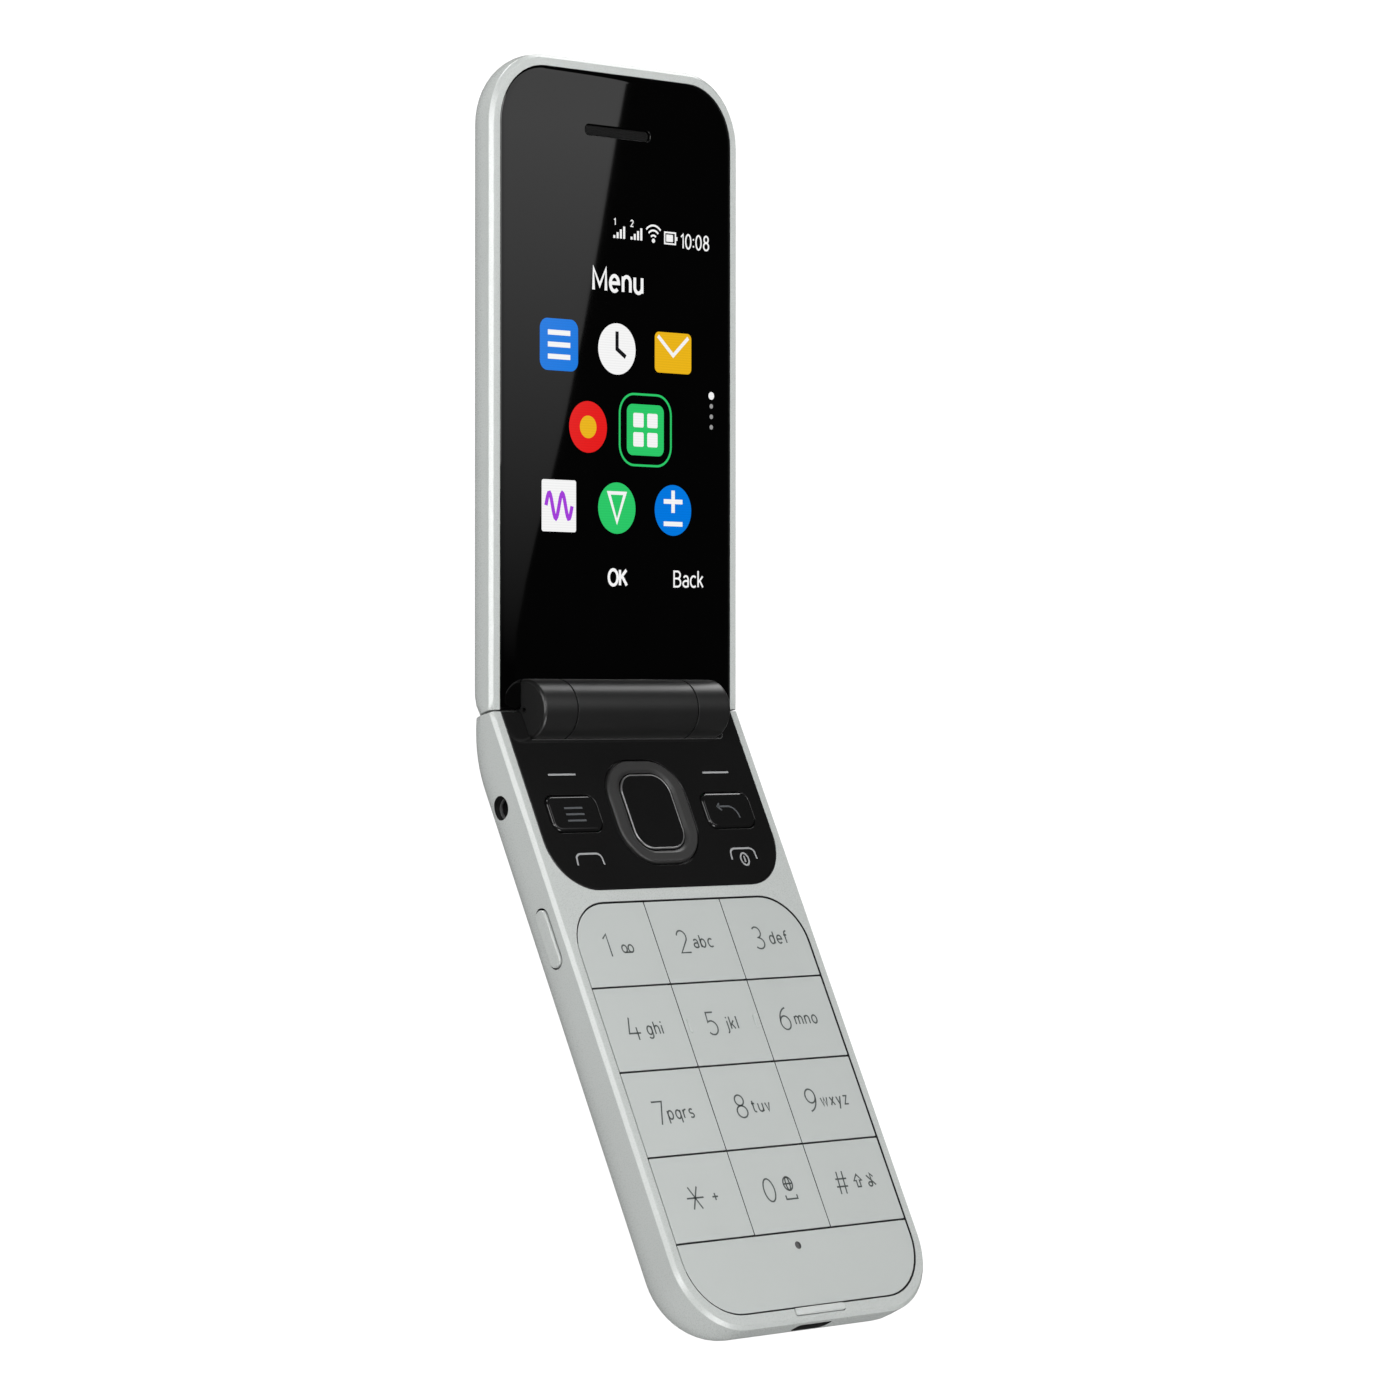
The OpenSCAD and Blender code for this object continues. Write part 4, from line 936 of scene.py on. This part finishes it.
# Black moulded plastic has a fine matt grain.
black_moulding = finish("black_moulding", coat(grey(0.012), grey(0.02), (0.15, 2.0), 0.45, 0.2, lift=0.004))
steel = rolled("rolled_steel", 0.5, Metallic=1.0)
# Near-black steel for the charging shell: painted shade inside the socket's mouth.
shade_dark_steel = rolled("shade_dark_steel", 0.015, Metallic=1.0)
contact_r = 1.79
contact_in_r = 1.65
jack_contact = band("jack_contact", rim(*circle(contact_r)), rim(*circle(contact_in_r)),
                    [0, 0.8, 1, 1, 0.8, 0], [1.75, 1.75, 1.8, 2.25, 2.3, 2.3], jack_place)
settle(jack_contact, rolled("contact_plating", 0.2, Metallic=0.3), "base", "metal")
usb_back = 6.9
usb_sheet = 0.3
usb_edges = about(usb_w, usb_h)
usb_radii = (0.55, 1.0, 1.0, 0.55)
usb_shell = band("charging_shell", rim(usb_edges, usb_radii), rim(usb_edges, usb_radii, usb_sheet),
                 [0, 0, 0.3, 0.7, 1, 1], [usb_back, 0.85, 0.75, 0.75, 0.85, usb_back], usb_place)
settle(usb_shell, shade_dark_steel, "base", "metal", "charging_socket")
for name, edges, radius, top, bottom, soft in (
    ("charging_tongue", about(3.6, 0.6, 0, 0.42), 0.1, 1.15, 6.4, 0.08),
    ("charging_back", grown(usb_edges, -0.35), 0.4, 6.2, usb_back, 0.1),
):
    settle(slab(name, edges, radius, top, bottom, soft, usb_place), black_moulding, "base", "module")

# Hinge
# The dark satin barrel in three lengths: the middle one stands on the base and holds the snap module,
# the two outer knuckles belong to the lid. Hairline gaps part them.

seam_left = -13.4
seam_right = 13.07
seam_gap = 0.26
barrel_soft = 0.06
knuckle_soft = 0.7
can_r = 3.55
can_l = 15.0
sleeve_r = 2.6
pin_r = 0.45
pin_l = 1.4
shaft_r = 1.56
end_wall = 1.2
end_reach = 0.02
pin_hole_l = 2.0
tongue_root = -1.5
base_tongue = (-10.0, 2.95, 4.2, on_base)
base_tongue_in = 1.5
lid_tongue_in = 1.0


def on_lid(points):
    """Carries points of the lid, in millimetres, into the row frame, in metres, with the lid open."""
    x, y, z = np.moveaxis(points, -1, 0)
    rise = z - axis_rise
    return np.stack([x, hinge_y - y * np.cos(lid_tilt) - rise * np.sin(lid_tilt),
                     base_t + axis_rise - y * np.sin(lid_tilt) + rise * np.cos(lid_tilt)], -1) * MM


def knuckle(name, x0, x1, soft0, soft1, place):
    """Length of the barrel with a quarter circle of its own size at each end."""
    inset0, along0 = rounding(soft0, 6)
    inset1, along1 = rounding(soft1, 6)
    along = np.concatenate([x0 + along0, (x1 - along1)[::-1]])
    return turned(name, along, barrel_r - np.concatenate([inset0, inset1[::-1]]), place)


def paint_barrel(wire):
    """Dark grey satin paint with a fine grain. The flat outer ends are matt, and darker as painted shade."""
    grain = wire.noise(0.13, 2.0)
    x = wire.node("ShaderNodeSeparateXYZ", {}, {0: wire.place()})
    end = wire.math("ABSOLUTE", x) > (barrel_half - end_reach) * MM
    colour = wire.mix(wire.noise(8.0, 2.0), grey(0.006), grey(0.009))
    # The near-black grey(0.003) on the ends is painted shade.
    return {"Base Color": wire.mix(end, colour, grey(0.003)),
            "Roughness": 0.3 + 0.1 * grain + 0.5 * end,
            "Normal": wire.bump(grain, 0.003)}


def tongue(x0, x1, y0, top, bottom, place):
    """Flat tongue that holds a length of the barrel in its half, as a block to join to it."""
    return prism((x0, x1, y0, tongue_root), 0, top, bottom, place)


barrel_satin = finish("barrel_satin", paint_barrel, Specular_IOR_Level=0.6, Sheen_Weight=0.12,
                      Sheen_Roughness=0.3)
centre_x0 = seam_left + seam_gap / 2
centre_x1 = seam_right - seam_gap / 2
can_end = centre_x0 + can_l
lid_tongue = (-12.0, 1.2, 3.5, on_lid)
middle = knuckle("barrel_middle", centre_x0, centre_x1, barrel_soft, barrel_soft, on_base)
settle(middle, barrel_satin, "base", "satin", "hinge_barrel",
       joins=[tongue(centre_x0 + base_tongue_in, centre_x1 - base_tongue_in, *base_tongue)],
       cuts=[bore(centre_x0 - spare, can_end + seat, can_r + seat),
             bore(can_end - spare, centre_x1 + spare, sleeve_r + seat)])
left_x1 = seam_left - seam_gap / 2
left = knuckle("barrel_left", -barrel_half, left_x1, knuckle_soft, barrel_soft, on_lid)
settle(left, barrel_satin, "lid", "satin", "knuckle_left",
       joins=[tongue(-barrel_half + lid_tongue_in, left_x1 - lid_tongue_in, *lid_tongue)],
       cuts=[bore(-barrel_half - spare, -barrel_half + pin_hole_l, pin_r, on_lid),
             bore(-barrel_half + pin_l, left_x1 + spare, shaft_r, on_lid)])
right_x0 = seam_right + seam_gap / 2
right = knuckle("barrel_right", right_x0, barrel_half, barrel_soft, knuckle_soft, on_lid)
settle(right, barrel_satin, "lid", "satin", "knuckle_right",
       joins=[tongue(right_x0 + lid_tongue_in, barrel_half - lid_tongue_in, *lid_tongue)],
       cuts=[bore(right_x0 - spare, barrel_half - end_wall, sleeve_r + seat, on_lid)])

# Lid frame
# The shell of the upper half, painted as the base is: a thin moulding whose rim holds the window, with
# the same bright bevel. Its hinge end is cut on the slant, so the open lid rests flat on the base.

lid_len = 103.2
lid_t = 7.0
lid_wall_drop = 1.7
lid_edge_r = lid_t - lid_wall_drop
lid_back_start = 2.6
lid_back_r = 5.3
lid_split = 5.5
lid_plate_top = 3.5
lid_plate_bottom = 4.3
lid_ledge_top = 0.5
glass_hw = 25.2
glass_end = -101.3
glass_r = 9.5
glass_t = 1.0
glass_ledge = 1.5
glass_edges = (-glass_hw, glass_hw, glass_end, past_hinge)
lid_room = (-glass_hw + glass_ledge, glass_hw - glass_ledge, glass_end + glass_ledge, room_y)
lid_room_radii = far_round(glass_r - glass_ledge)
beyond = 20.0
lid_block = (-wide, wide, -long, beyond)
lid_rings = half_rings(lid_len, lid_wall_drop, lid_edge_r, lid_back_start, lid_back_r)
lid_shell = loft("lid_shell", lid_rings, on_lid)
settle(lid_shell, shell_paint, "lid", "shell", "lid_frame", lining=recess_shade_lining, cuts=[
    prism(lid_block, 0, lid_split, beyond, on_lid),
    hollow(grown(glass_edges, seat), far_round(glass_r + seat), glass_t + seat, recess_soft, on_lid),
    prism(lid_room, lid_room_radii, lid_ledge_top, lid_plate_top, on_lid),
    prism(lid_room, lid_room_radii, lid_plate_bottom, lid_split + spare, on_lid),
    bore(-pocket_half, pocket_half, barrel_r + pocket_gap, on_lid),
])

# Lid cover
# The back of the lid: a painted shell screwed to the frame from inside, with seats for the small outer
# window, the camera and its flash.

window_w = 30.0
window_l = 23.0
window_r = 3.0
window_t = 0.7
window_y = -58.0
camera_y = -82.0
lens_r = 3.2
flash_x = 9.0
flash_r = 1.5
window_ledge = 1.5
lens_ledge = 0.5
flash_ledge = 0.4
back_hole_top = 0.3
back_hole_end = 2.0
window_edges = about(window_w, window_l, 0, window_y)
lens_edges, lens_corner = circle(lens_r, 0, camera_y)
flash_edges, flash_corner = circle(flash_r, flash_x, camera_y)


def on_lid_back(points):
    """Place on the back of the lid: across, along, and out of the back."""
    return on_lid(points * [1, 1, -1] + [0, 0, -lid_t])


back_cuts = [prism(lid_block, 0, -spare, lid_split + seat, on_lid)]
for edges, radius, ledge, ledge_r in (
    (window_edges, window_r, window_ledge, 0),
    (lens_edges, lens_corner, lens_ledge, lens_corner - lens_ledge),
    (flash_edges, flash_corner, flash_ledge, flash_corner - flash_ledge),
):
    back_cuts.append(hollow(grown(edges, seat), radius + seat, window_t + seat, place=on_lid_back))
    back_cuts.append(prism(grown(edges, -ledge), ledge_r, back_hole_top, back_hole_end, on_lid_back))
back_skin = loft("lid_back_skin", lid_rings, on_lid)
settle(back_skin, shell_paint, "lid", "shell", "lid_cover", lining=recess_shade_lining, cuts=back_cuts)

# Screen window
# One sheet of hard black-backed glass over the whole face of the lid, glued into its rim, with a soft
# polished edge and a slot for the earpiece.

glass_soft_w = 1.1
glass_soft_h = 0.3
ear_y = -92.1
ear_l = 14.3
ear_h = 1.7
ear_soft = 0.12
ear_edges = about(ear_l, ear_h, 0, ear_y)
# Black glass: almost no colour of its own, polished, with the faintest smear.
black_glass = finish("black_glass", coat(grey(0.0003), grey(0.0006), (9.0, 4.0), 0.012, 0.01))
glass_turn = np.linspace(0, np.pi / 2, 10)
glass_inset = np.append(glass_soft_w * (1 - np.sin(glass_turn)), 0)
glass_depth = np.append(glass_soft_h * (1 - np.cos(glass_turn)), glass_t)
glass_radii = (panel_corner_r, glass_r, glass_r, panel_corner_r)
glass_rings = stack((-glass_hw, glass_hw, glass_end, panel_top), glass_radii, glass_inset, glass_depth)
settle(loft("window_glass", glass_rings, on_lid), black_glass, "lid", "window", "screen_glass", cuts=[
    hollow(foot_edges, far_round(foot_r), glass_t + spare, place=on_lid),
    hollow(ear_edges, ear_h / 2 - seat, glass_t + spare, ear_soft, on_lid),
])

# Earpiece mesh
# A woven black steel mesh set down in the slot of the window, over the earpiece. It keeps dust out and
# lets the sound through.

weave_scale = 1100.0
weave_r = 0.7
weave_top = 0.45
weave_bottom = 1.1
weave_soft = 0.1


def paint_mesh(wire):
    """Woven wires: two crossed waves, dark in the openings between them."""
    spot = {"Vector": wire.place(), "Scale": weave_scale}
    waves = [wire.node("ShaderNodeTexWave", {"bands_direction": way}, spot) for way in ("X", "Y")]
    weave = wire.math("MAXIMUM", *waves)
    return {"Base Color": wire.mix(weave, grey(0.0005), grey(0.005)),
            "Roughness": 0.6 - 0.1 * weave,
            "Normal": wire.bump(weave, 0.05)}


woven_mesh = finish("woven_mesh", paint_mesh, Specular_IOR_Level=0.2)
weave_edges = grown(ear_edges, -seat)
weave_plate = slab("earpiece_weave", weave_edges, weave_r, weave_top, weave_bottom, weave_soft, on_lid)
settle(weave_plate, woven_mesh, "lid", "module", "earpiece_mesh")

# Lit screen
# The picture on the display, seen through the glass: a status row, a title, a field of plain menu signs
# and two soft-key words. It lies on the glass as thin lit shapes.

pixel = 0.18
picture_level = 0.02
layer_step = 0.01


def on_screen(points):
    """Place on the glass: across, up from the hinge, and out of the glass."""
    return on_lid(points * [1, -1, 1])


def glow(name, colour):
    """Lit picture element: the colour cut by the fine dark grid between the screen's pixels."""
    def paint(wire):
        grid = [wire.node("ShaderNodeTexWave", {"bands_direction": way, "wave_profile": "SIN"},
                          {"Vector": wire.place(), "Scale": np.pi / 10 / (pixel * MM)}) for way in ("X", "Z")]
        light = 0.86 + 0.14 * (grid[0] * grid[1])
        return {"Emission Color": wire.mix(light, (0, 0, 0, 1), colour)}
    return finish(name, paint, Emission_Strength=1.0, Base_Color=(0, 0, 0, 1), Roughness=0.1)


lit = {
    "white": glow("lit_white", (1, 1, 1, 1)),
    "green": glow("lit_green", (0.026, 0.63, 0.15, 1)),
    "blue": glow("lit_blue", (0.0, 0.2, 0.8, 1)),
    "red": glow("lit_red", (0.85, 0.01, 0.01, 1)),
    "amber": glow("lit_amber", (0.9, 0.5, 0.01, 1)),
    "violet": glow("lit_violet", (0.4, 0.05, 0.75, 1)),
    "dark": glow("lit_dark", (0.004, 0.004, 0.006, 1)),
    "dim": glow("lit_dim", (0.35, 0.35, 0.35, 1)),
}


def tile(name, colour, width, height, x, up, r, layer=0):
    """Filled rounded rectangle on the screen, above the layers below it."""
    top = -picture_level - layer_step * layer
    shape = loft(name, stack(about(width, height, x, up), r, [0, 0], [top, layer_step]), on_screen)
    settle(shape, lit[colour], "lid", "display")


def lines(name, colour, strokes, width, layer=0):
    """Drawn lines or words on the screen, above the layers below it."""
    shape = printed(name, strokes, width, picture_level + layer_step * layer, on_screen)
    settle(shape, lit[colour], "lid", "display")


bars = [draw((x + 0.72 * i, 75.3), (x + 0.72 * i, 75.75 + 0.5 * i)) for x in (-0.8, 3.0) for i in range(4)]
lines("status_signal", "white", bars, 0.42)
lines("status_numbers", "white", lettering("1", -0.7, 77.4, 1.0) + lettering("2", 3.1, 77.4, 1.0), 0.18)
waves = [arc(7.87, 75.5, 0.75 * i, 0.8 * i, 45, 135) for i in (1, 2, 3)]
waves.append(arc(7.87, 75.45, 0.2, 0.2, 0, 360))
lines("status_waves", "white", waves, 0.3)
lines("status_battery", "white", [draw((10.4, 75.2), (12.8, 75.2), (12.8, 77), (10.4, 77), (10.4, 75.2)),
                                  draw((13.1, 75.8), (13.1, 76.4))], 0.26)
tile("status_charge", "white", 1.5, 1.15, 11.5, 76.1, 0.1)
lines("status_clock", "white", lettering("10:08", 17.2, 74.7, 2.25, 0.26, 0.86), 0.28)
lines("screen_title", "white", lettering("Menu", 0, 66.8, 2.45, 0.4), 0.58)

icon = 8.2
icon_r = icon / 2 - nearly
left_x, middle_x, right_x = -12.8, -0.2, 12.3
inner_left_x, inner_right_x = -6.5, 6.1
upper, centre_up, lower = 57.6, 44.9, 32.2
tile("tile_list", "blue", icon, icon, left_x, upper, 1.6)
rows = [draw((-15.2, upper + dy), (-10.4, upper + dy)) for dy in (1.9, 0, -1.9)]
lines("tile_list_rows", "white", rows, 0.8, 1)
tile("tile_clock", "white", icon, icon, middle_x, upper, icon_r)
lines("tile_clock_hands", "dark", [draw((middle_x, 60.4), (middle_x, upper), (1.7, 56.4))], 0.7, 1)
tile("tile_mail", "amber", icon, icon * 0.8, right_x, upper, 0.9)
lines("tile_mail_flap", "white", [draw((8.9, 60.2), (right_x, 57.2), (15.7, 60.2))], 0.6, 1)
tile("tile_sun", "red", icon, icon, inner_left_x, centre_up, icon_r)
tile("tile_sun_core", "amber", 3.6, 3.6, inner_left_x, centre_up, 1.79, 1)
tile("tile_grid", "green", icon, icon, inner_right_x, centre_up, 1.2)
for i, (dx, dy) in enumerate(((-1.55, -1.55), (1.55, -1.55), (-1.55, 1.55), (1.55, 1.55))):
    tile("tile_grid_" + str(i), "white", 2.3, 2.3, inner_right_x + dx, centre_up + dy, 0.3, 1)
chosen = outline(*about(11.4, 11.4, inner_right_x, centre_up), 3.2, [0])[0]
lines("tile_chosen", "green", [draw(chosen, chosen[0])], 0.36)
tile("tile_wave", "white", icon * 0.9, icon, left_x, lower, 0.4)
wave_turn = np.linspace(0, 4 * np.pi, 30)
wave = np.stack([np.linspace(-15.6, -10, 30), lower + 2 * np.sin(wave_turn)], -1)
lines("tile_wave_line", "violet", [wave], 0.7, 1)
tile("tile_torch", "green", icon, icon, middle_x, lower, icon_r)
lines("tile_torch_beam", "white", [draw((-2, 34.6), (middle_x, 30), (1.6, 34.6), (-2, 34.6))], 0.6, 1)
tile("tile_sum", "blue", icon, icon, right_x, lower, icon_r)
lines("tile_sum_signs", "white", [draw((10.2, 33.6), (14.4, 33.6)), draw((right_x, 35.4), (right_x, 31.8)),
                                  draw((10.2, 30), (14.4, 30))], 0.75, 1)
for i, (colour, size) in enumerate((("white", 1.25), ("dim", 0.75), ("dim", 0.75), ("dim", 0.75))):
    tile("page_dot_" + str(i), colour, size, size, 20.98, 51.1 - 1.7 * i, size / 2 - nearly)
lines("soft_key_middle", "white", lettering("OK", 0, 19.9, 1.75, 0.3), 0.5)
lines("soft_key_right", "white", lettering("Back", 15.8, 19.9, 1.75, 0.32), 0.3)

# Back of the lid
# A small gloss window over the outer display, and beside it the camera's round cover glass in a bright
# ring and the milky lens of its flash.


def disc(name, x, y, radius, depth):
    """Round plate or lens in the back of the lid: circles of these radii at these depths round a point."""
    turn = np.linspace(0, 2 * np.pi, 48, endpoint=False)
    radius = np.asarray(radius, float)[:, None]
    loops = np.stack([x + radius * np.cos(turn), y + radius * np.sin(turn)], -1)
    return loft(name, at_depth(loops, depth), on_lid_back)


outer = slab("outer_window_glass", window_edges, window_r, 0, window_t, 0.15, on_lid_back)
settle(outer, black_glass, "lid", "window", "outer_window")
lens = disc("camera_cover_glass", 0, camera_y, [0.4, 1.2, 1.6, 1.9, 2.2, 2.5, 2.9, 3.1, lens_r, lens_r],
            [0.42, 0.36, 0.26, 0.12, 0.02, 0, 0, 0.04, 0.14, window_t])
settle(lens, black_glass, "lid", "window", "camera_lens")
lens_ring_r = 2.7
lens_ring_in_r = 2.3
lens_ring = band("camera_ring", rim(*circle(lens_ring_r, 0, camera_y)),
                 rim(*circle(lens_ring_in_r, 0, camera_y)), [0, 0.2, 0.8, 1, 1, 0],
                 [0.02, -0.05, -0.05, 0.02, 0.2, 0.2], on_lid_back)
settle(lens_ring, silver_trim, "lid", "metal")
milk_coat = coat((0.75, 0.7, 0.5, 1), (0.85, 0.82, 0.68, 1), (0.3, 1.0), 0.15, 0.15, lift=0.02)
flash = disc("flash_cover", flash_x, camera_y, [0.3, 0.5, 0.7, 0.9, 1.1, 1.3, 1.42, flash_r, flash_r],
             [0.0, 0.06, 0.0, 0.06, 0.0, 0.04, 0.0, 0.06, window_t])
settle(flash, finish("flash_milk", milk_coat), "lid", "clear", "flash_lens")

# Inside pieces
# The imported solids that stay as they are, mostly out of sight: boards, switches, battery, speakers and
# the hinge's module. Each gets the finish of what it is made of.


track_scale = 500.0


def paint_solder(wire):
    """Green solder mask with lighter copper tracks."""
    spot = {"Vector": wire.place(), "Scale": track_scale}
    tracks = wire.node("ShaderNodeTexVoronoi", {"distance": "MANHATTAN"}, spot)
    return {"Base Color": wire.mix(tracks, (0.01, 0.09, 0.04, 1), (0.02, 0.16, 0.07, 1)),
            "Roughness": 0.3 + 0.2 * tracks,
            "Normal": wire.bump(tracks, 0.03)}


rubber_coat = coat(grey(0.2), grey(0.24), (0.2, 2.0), 0.65, 0.2, lift=0.01)
foil_coat = coat(grey(0.02, -0.05), grey(0.035, -0.05), (2.5, 4.0), 0.4, 0.2, lift=0.03)
gilt_coat = coat((0.55, 0.36, 0.1, 1), (0.7, 0.5, 0.2, 1), (1.5, 3.0), 0.25, 0.15)
inside = {
    "board": finish("solder_mask", paint_solder),
    "metal": steel,
    "rubber": finish("silicone_rubber", rubber_coat),
    "cell": finish("foil_wrap", foil_coat),
    "display": black_glass,
    "module": black_moulding,
    "gold": finish("gilt_contacts", gilt_coat, Metallic=1.0),
    "satin": satin("carrier_satin", 0.03, 0.4),
}
slot_of = {part["node"]: part["material_slot"] for part in frame["record"]["subparts"]}
for name, node in frame["nodes"].items():
    if not node.hide_render:
        for place in node.material_slots:
            place.material = inside[slot_of[name]]

# Camera
# The camera stands where the photograph was taken from. Right, up and back are its own axes, and the
# lens is given for a sensor 36 mm wide.

camera_place = np.array([-509.266, -183.887, 492.856]) * MM
camera_right = (0.712859, -0.309221, 0.629456)
camera_up = (-0.000676, 0.897242, 0.441538)
camera_back = (-0.701307, -0.315180, 0.639398)
camera = bpy.data.objects.new("camera", bpy.data.cameras.new("camera"))
bpy.context.scene.collection.objects.link(camera)
camera.data.sensor_width = 36.0
camera.data.lens = 119.108
camera.data.clip_start = 0.01
axes = Matrix((camera_right, camera_up, camera_back)).transposed().to_4x4()
camera.matrix_world = Matrix.Translation(camera_place) @ axes
bpy.context.scene.camera = camera

# Floor and lights
# A plain pale studio: a bright paper floor that turns up far away, a sheet just above it that throws its
# light back, soft lights round the phone, and a slanted board that only polished faces mirror.

floor_r = 2.4
floor_wall = 1.0
floor_drop = 0.0002
glow_lift = [0, 0, 0.0001]
glow_rings = 4
paper_cloud = (60.0, 2.0)


def sheet(name, points, material):
    """Open surface through a grid of points, as part of the stage."""
    rows, columns = points.shape[:2]
    index = np.arange(rows * columns).reshape(rows, columns)
    faces = np.stack([index[:-1, :-1], index[1:, :-1], index[1:, 1:], index[:-1, 1:]], -1).reshape(-1, 4)
    made = add_mesh(name, points, faces)
    made.data.materials.append(material)
    made.data.shade_smooth()
    return made


def paint_glow(wire):
    """Soft light thrown back by the paper, a little uneven."""
    return {"Emission Color": wire.mix(wire.noise(*paper_cloud), grey(0.95), grey(1))}


paper = finish("pale_paper", coat(grey(0.115), grey(0.125), paper_cloud, 0.8, 0.1),
               Emission_Color=(1, 1, 1, 1), Emission_Strength=0.9)
floor_rise = np.linspace(0, np.pi / 2, 13)
floor_out = np.append([0, 0.3, 0.8], floor_r + floor_wall * np.sin(floor_rise))[:, None]
floor_up = np.append([0, 0, 0], floor_wall * (1 - np.cos(floor_rise)))[:, None] - floor_drop
floor_turn = np.linspace(0, 2 * np.pi, 97)
floor_points = np.broadcast_arrays(floor_out * np.cos(floor_turn), floor_out * np.sin(floor_turn), floor_up)
floor = sheet("floor", np.stack(floor_points, -1), paper)
floor.visible_diffuse = False
floor.visible_glossy = False
paper_glow = finish("paper_glow", paint_glow, Base_Color=grey(0), Emission_Strength=0.97)
throw = sheet("floor_glow", np.stack(floor_points, -1)[:glow_rings] + glow_lift, paper_glow)
throw.visible_camera = False
throw.visible_glossy = False
throw.visible_shadow = False

board_far = 0.6
board_x0 = np.array([-20.0, -20.0])
board_fade = np.array([7.0, 92.0])
board_reach = 260.0
board_edge_up = [11, 23.6, 41.9, 60.3, 75.6, 92.2, 101, board_reach]
board_edge_x = [-22.1, -19, -12.6, -7.6, -3.9, -0.2, 2.0, 37]


def mirrored(x, up):
    """Points that the camera sees mirrored in the window at these places of it: sight lines from the
    camera, thrown back by the glass and followed for the same distance."""
    spot = on_screen(np.stack([x, up, np.zeros_like(x)], -1))
    sight = spot - camera_place
    sight /= np.linalg.norm(sight, axis=-1, keepdims=True)
    out = np.array([0, -np.sin(lid_tilt), np.cos(lid_tilt)])
    return spot + board_far * (sight - 2 * (sight @ out)[..., None] * out)


board_start, board_stop = mirrored(board_x0, board_fade)
board_axis = (board_stop - board_start) / ((board_stop - board_start) @ (board_stop - board_start))


def paint_board(wire):
    """White board that fades out towards its lower end."""
    dot = wire.node("ShaderNodeVectorMath", {"operation": "DOT_PRODUCT"},
                    {0: wire.place(), 1: tuple(board_axis)}, output="Value")
    share = wire.math("MAXIMUM", dot - float(board_start @ board_axis), 0.0)
    return {"Emission Color": wire.mix(share, grey(0), grey(1))}


board_up = np.linspace(-12, board_reach, 35)[:, None]
board_x = np.interp(board_up, board_edge_up, board_edge_x) - np.linspace(0, board_reach, 14)
board_white = finish("mirrored_board", paint_board, Base_Color=grey(0), Emission_Strength=1.1)
board = sheet("mirrored_board", mirrored(board_x, np.broadcast_to(board_up, board_x.shape)), board_white)
board.visible_camera = False
board.visible_shadow = False
board.visible_diffuse = False


def soft_light(name, way, power, size=0.55, distance=1.2):
    """Square soft light in this direction from the phone, turned to it."""
    light = bpy.data.lights.new(name, "AREA")
    light.size = size
    light.energy = power
    made = bpy.data.objects.new(name, light)
    bpy.context.scene.collection.objects.link(made)
    made.location = Vector(way).normalized() * distance + Vector((0, hinge_y * MM, base_t * MM))
    made.rotation_mode = "QUATERNION"
    made.rotation_quaternion = (-Vector(way)).to_track_quat("-Z", "Y")
    made.visible_camera = False
    return made


from_behind = (-0.1, 0.99, 0.12)
soft_light("key_light", (-0.65, -0.2, 0.72), 3.0)
soft_light("camera_side_light", (-0.743, -0.23, 0.63), 2.0, size=0.25)
soft_light("front_light", (0, -0.9, 0.42), 5.6)
soft_light("top_light", (0, -0.15, 1), 6.8)
soft_light("near_light", (-0.72, 0.26, 0.645), 0.52, size=0.2, distance=0.417)
soft_light("back_light", (0.6, 0.75, 0.25), 4.1)
soft_light("far_light", from_behind, 6.0)
gloss_light = soft_light("barrel_gloss_light", from_behind, 16.0)
gloss_light.visible_diffuse = False

world = bpy.data.worlds.new("studio")
bpy.context.scene.world = world
world.use_nodes = True
world.node_tree.nodes["Background"].inputs["Color"].default_value = (1, 1, 1, 1)
world.node_tree.nodes["Background"].inputs["Strength"].default_value = 0.015
bpy.context.scene.view_settings.view_transform = "Standard"
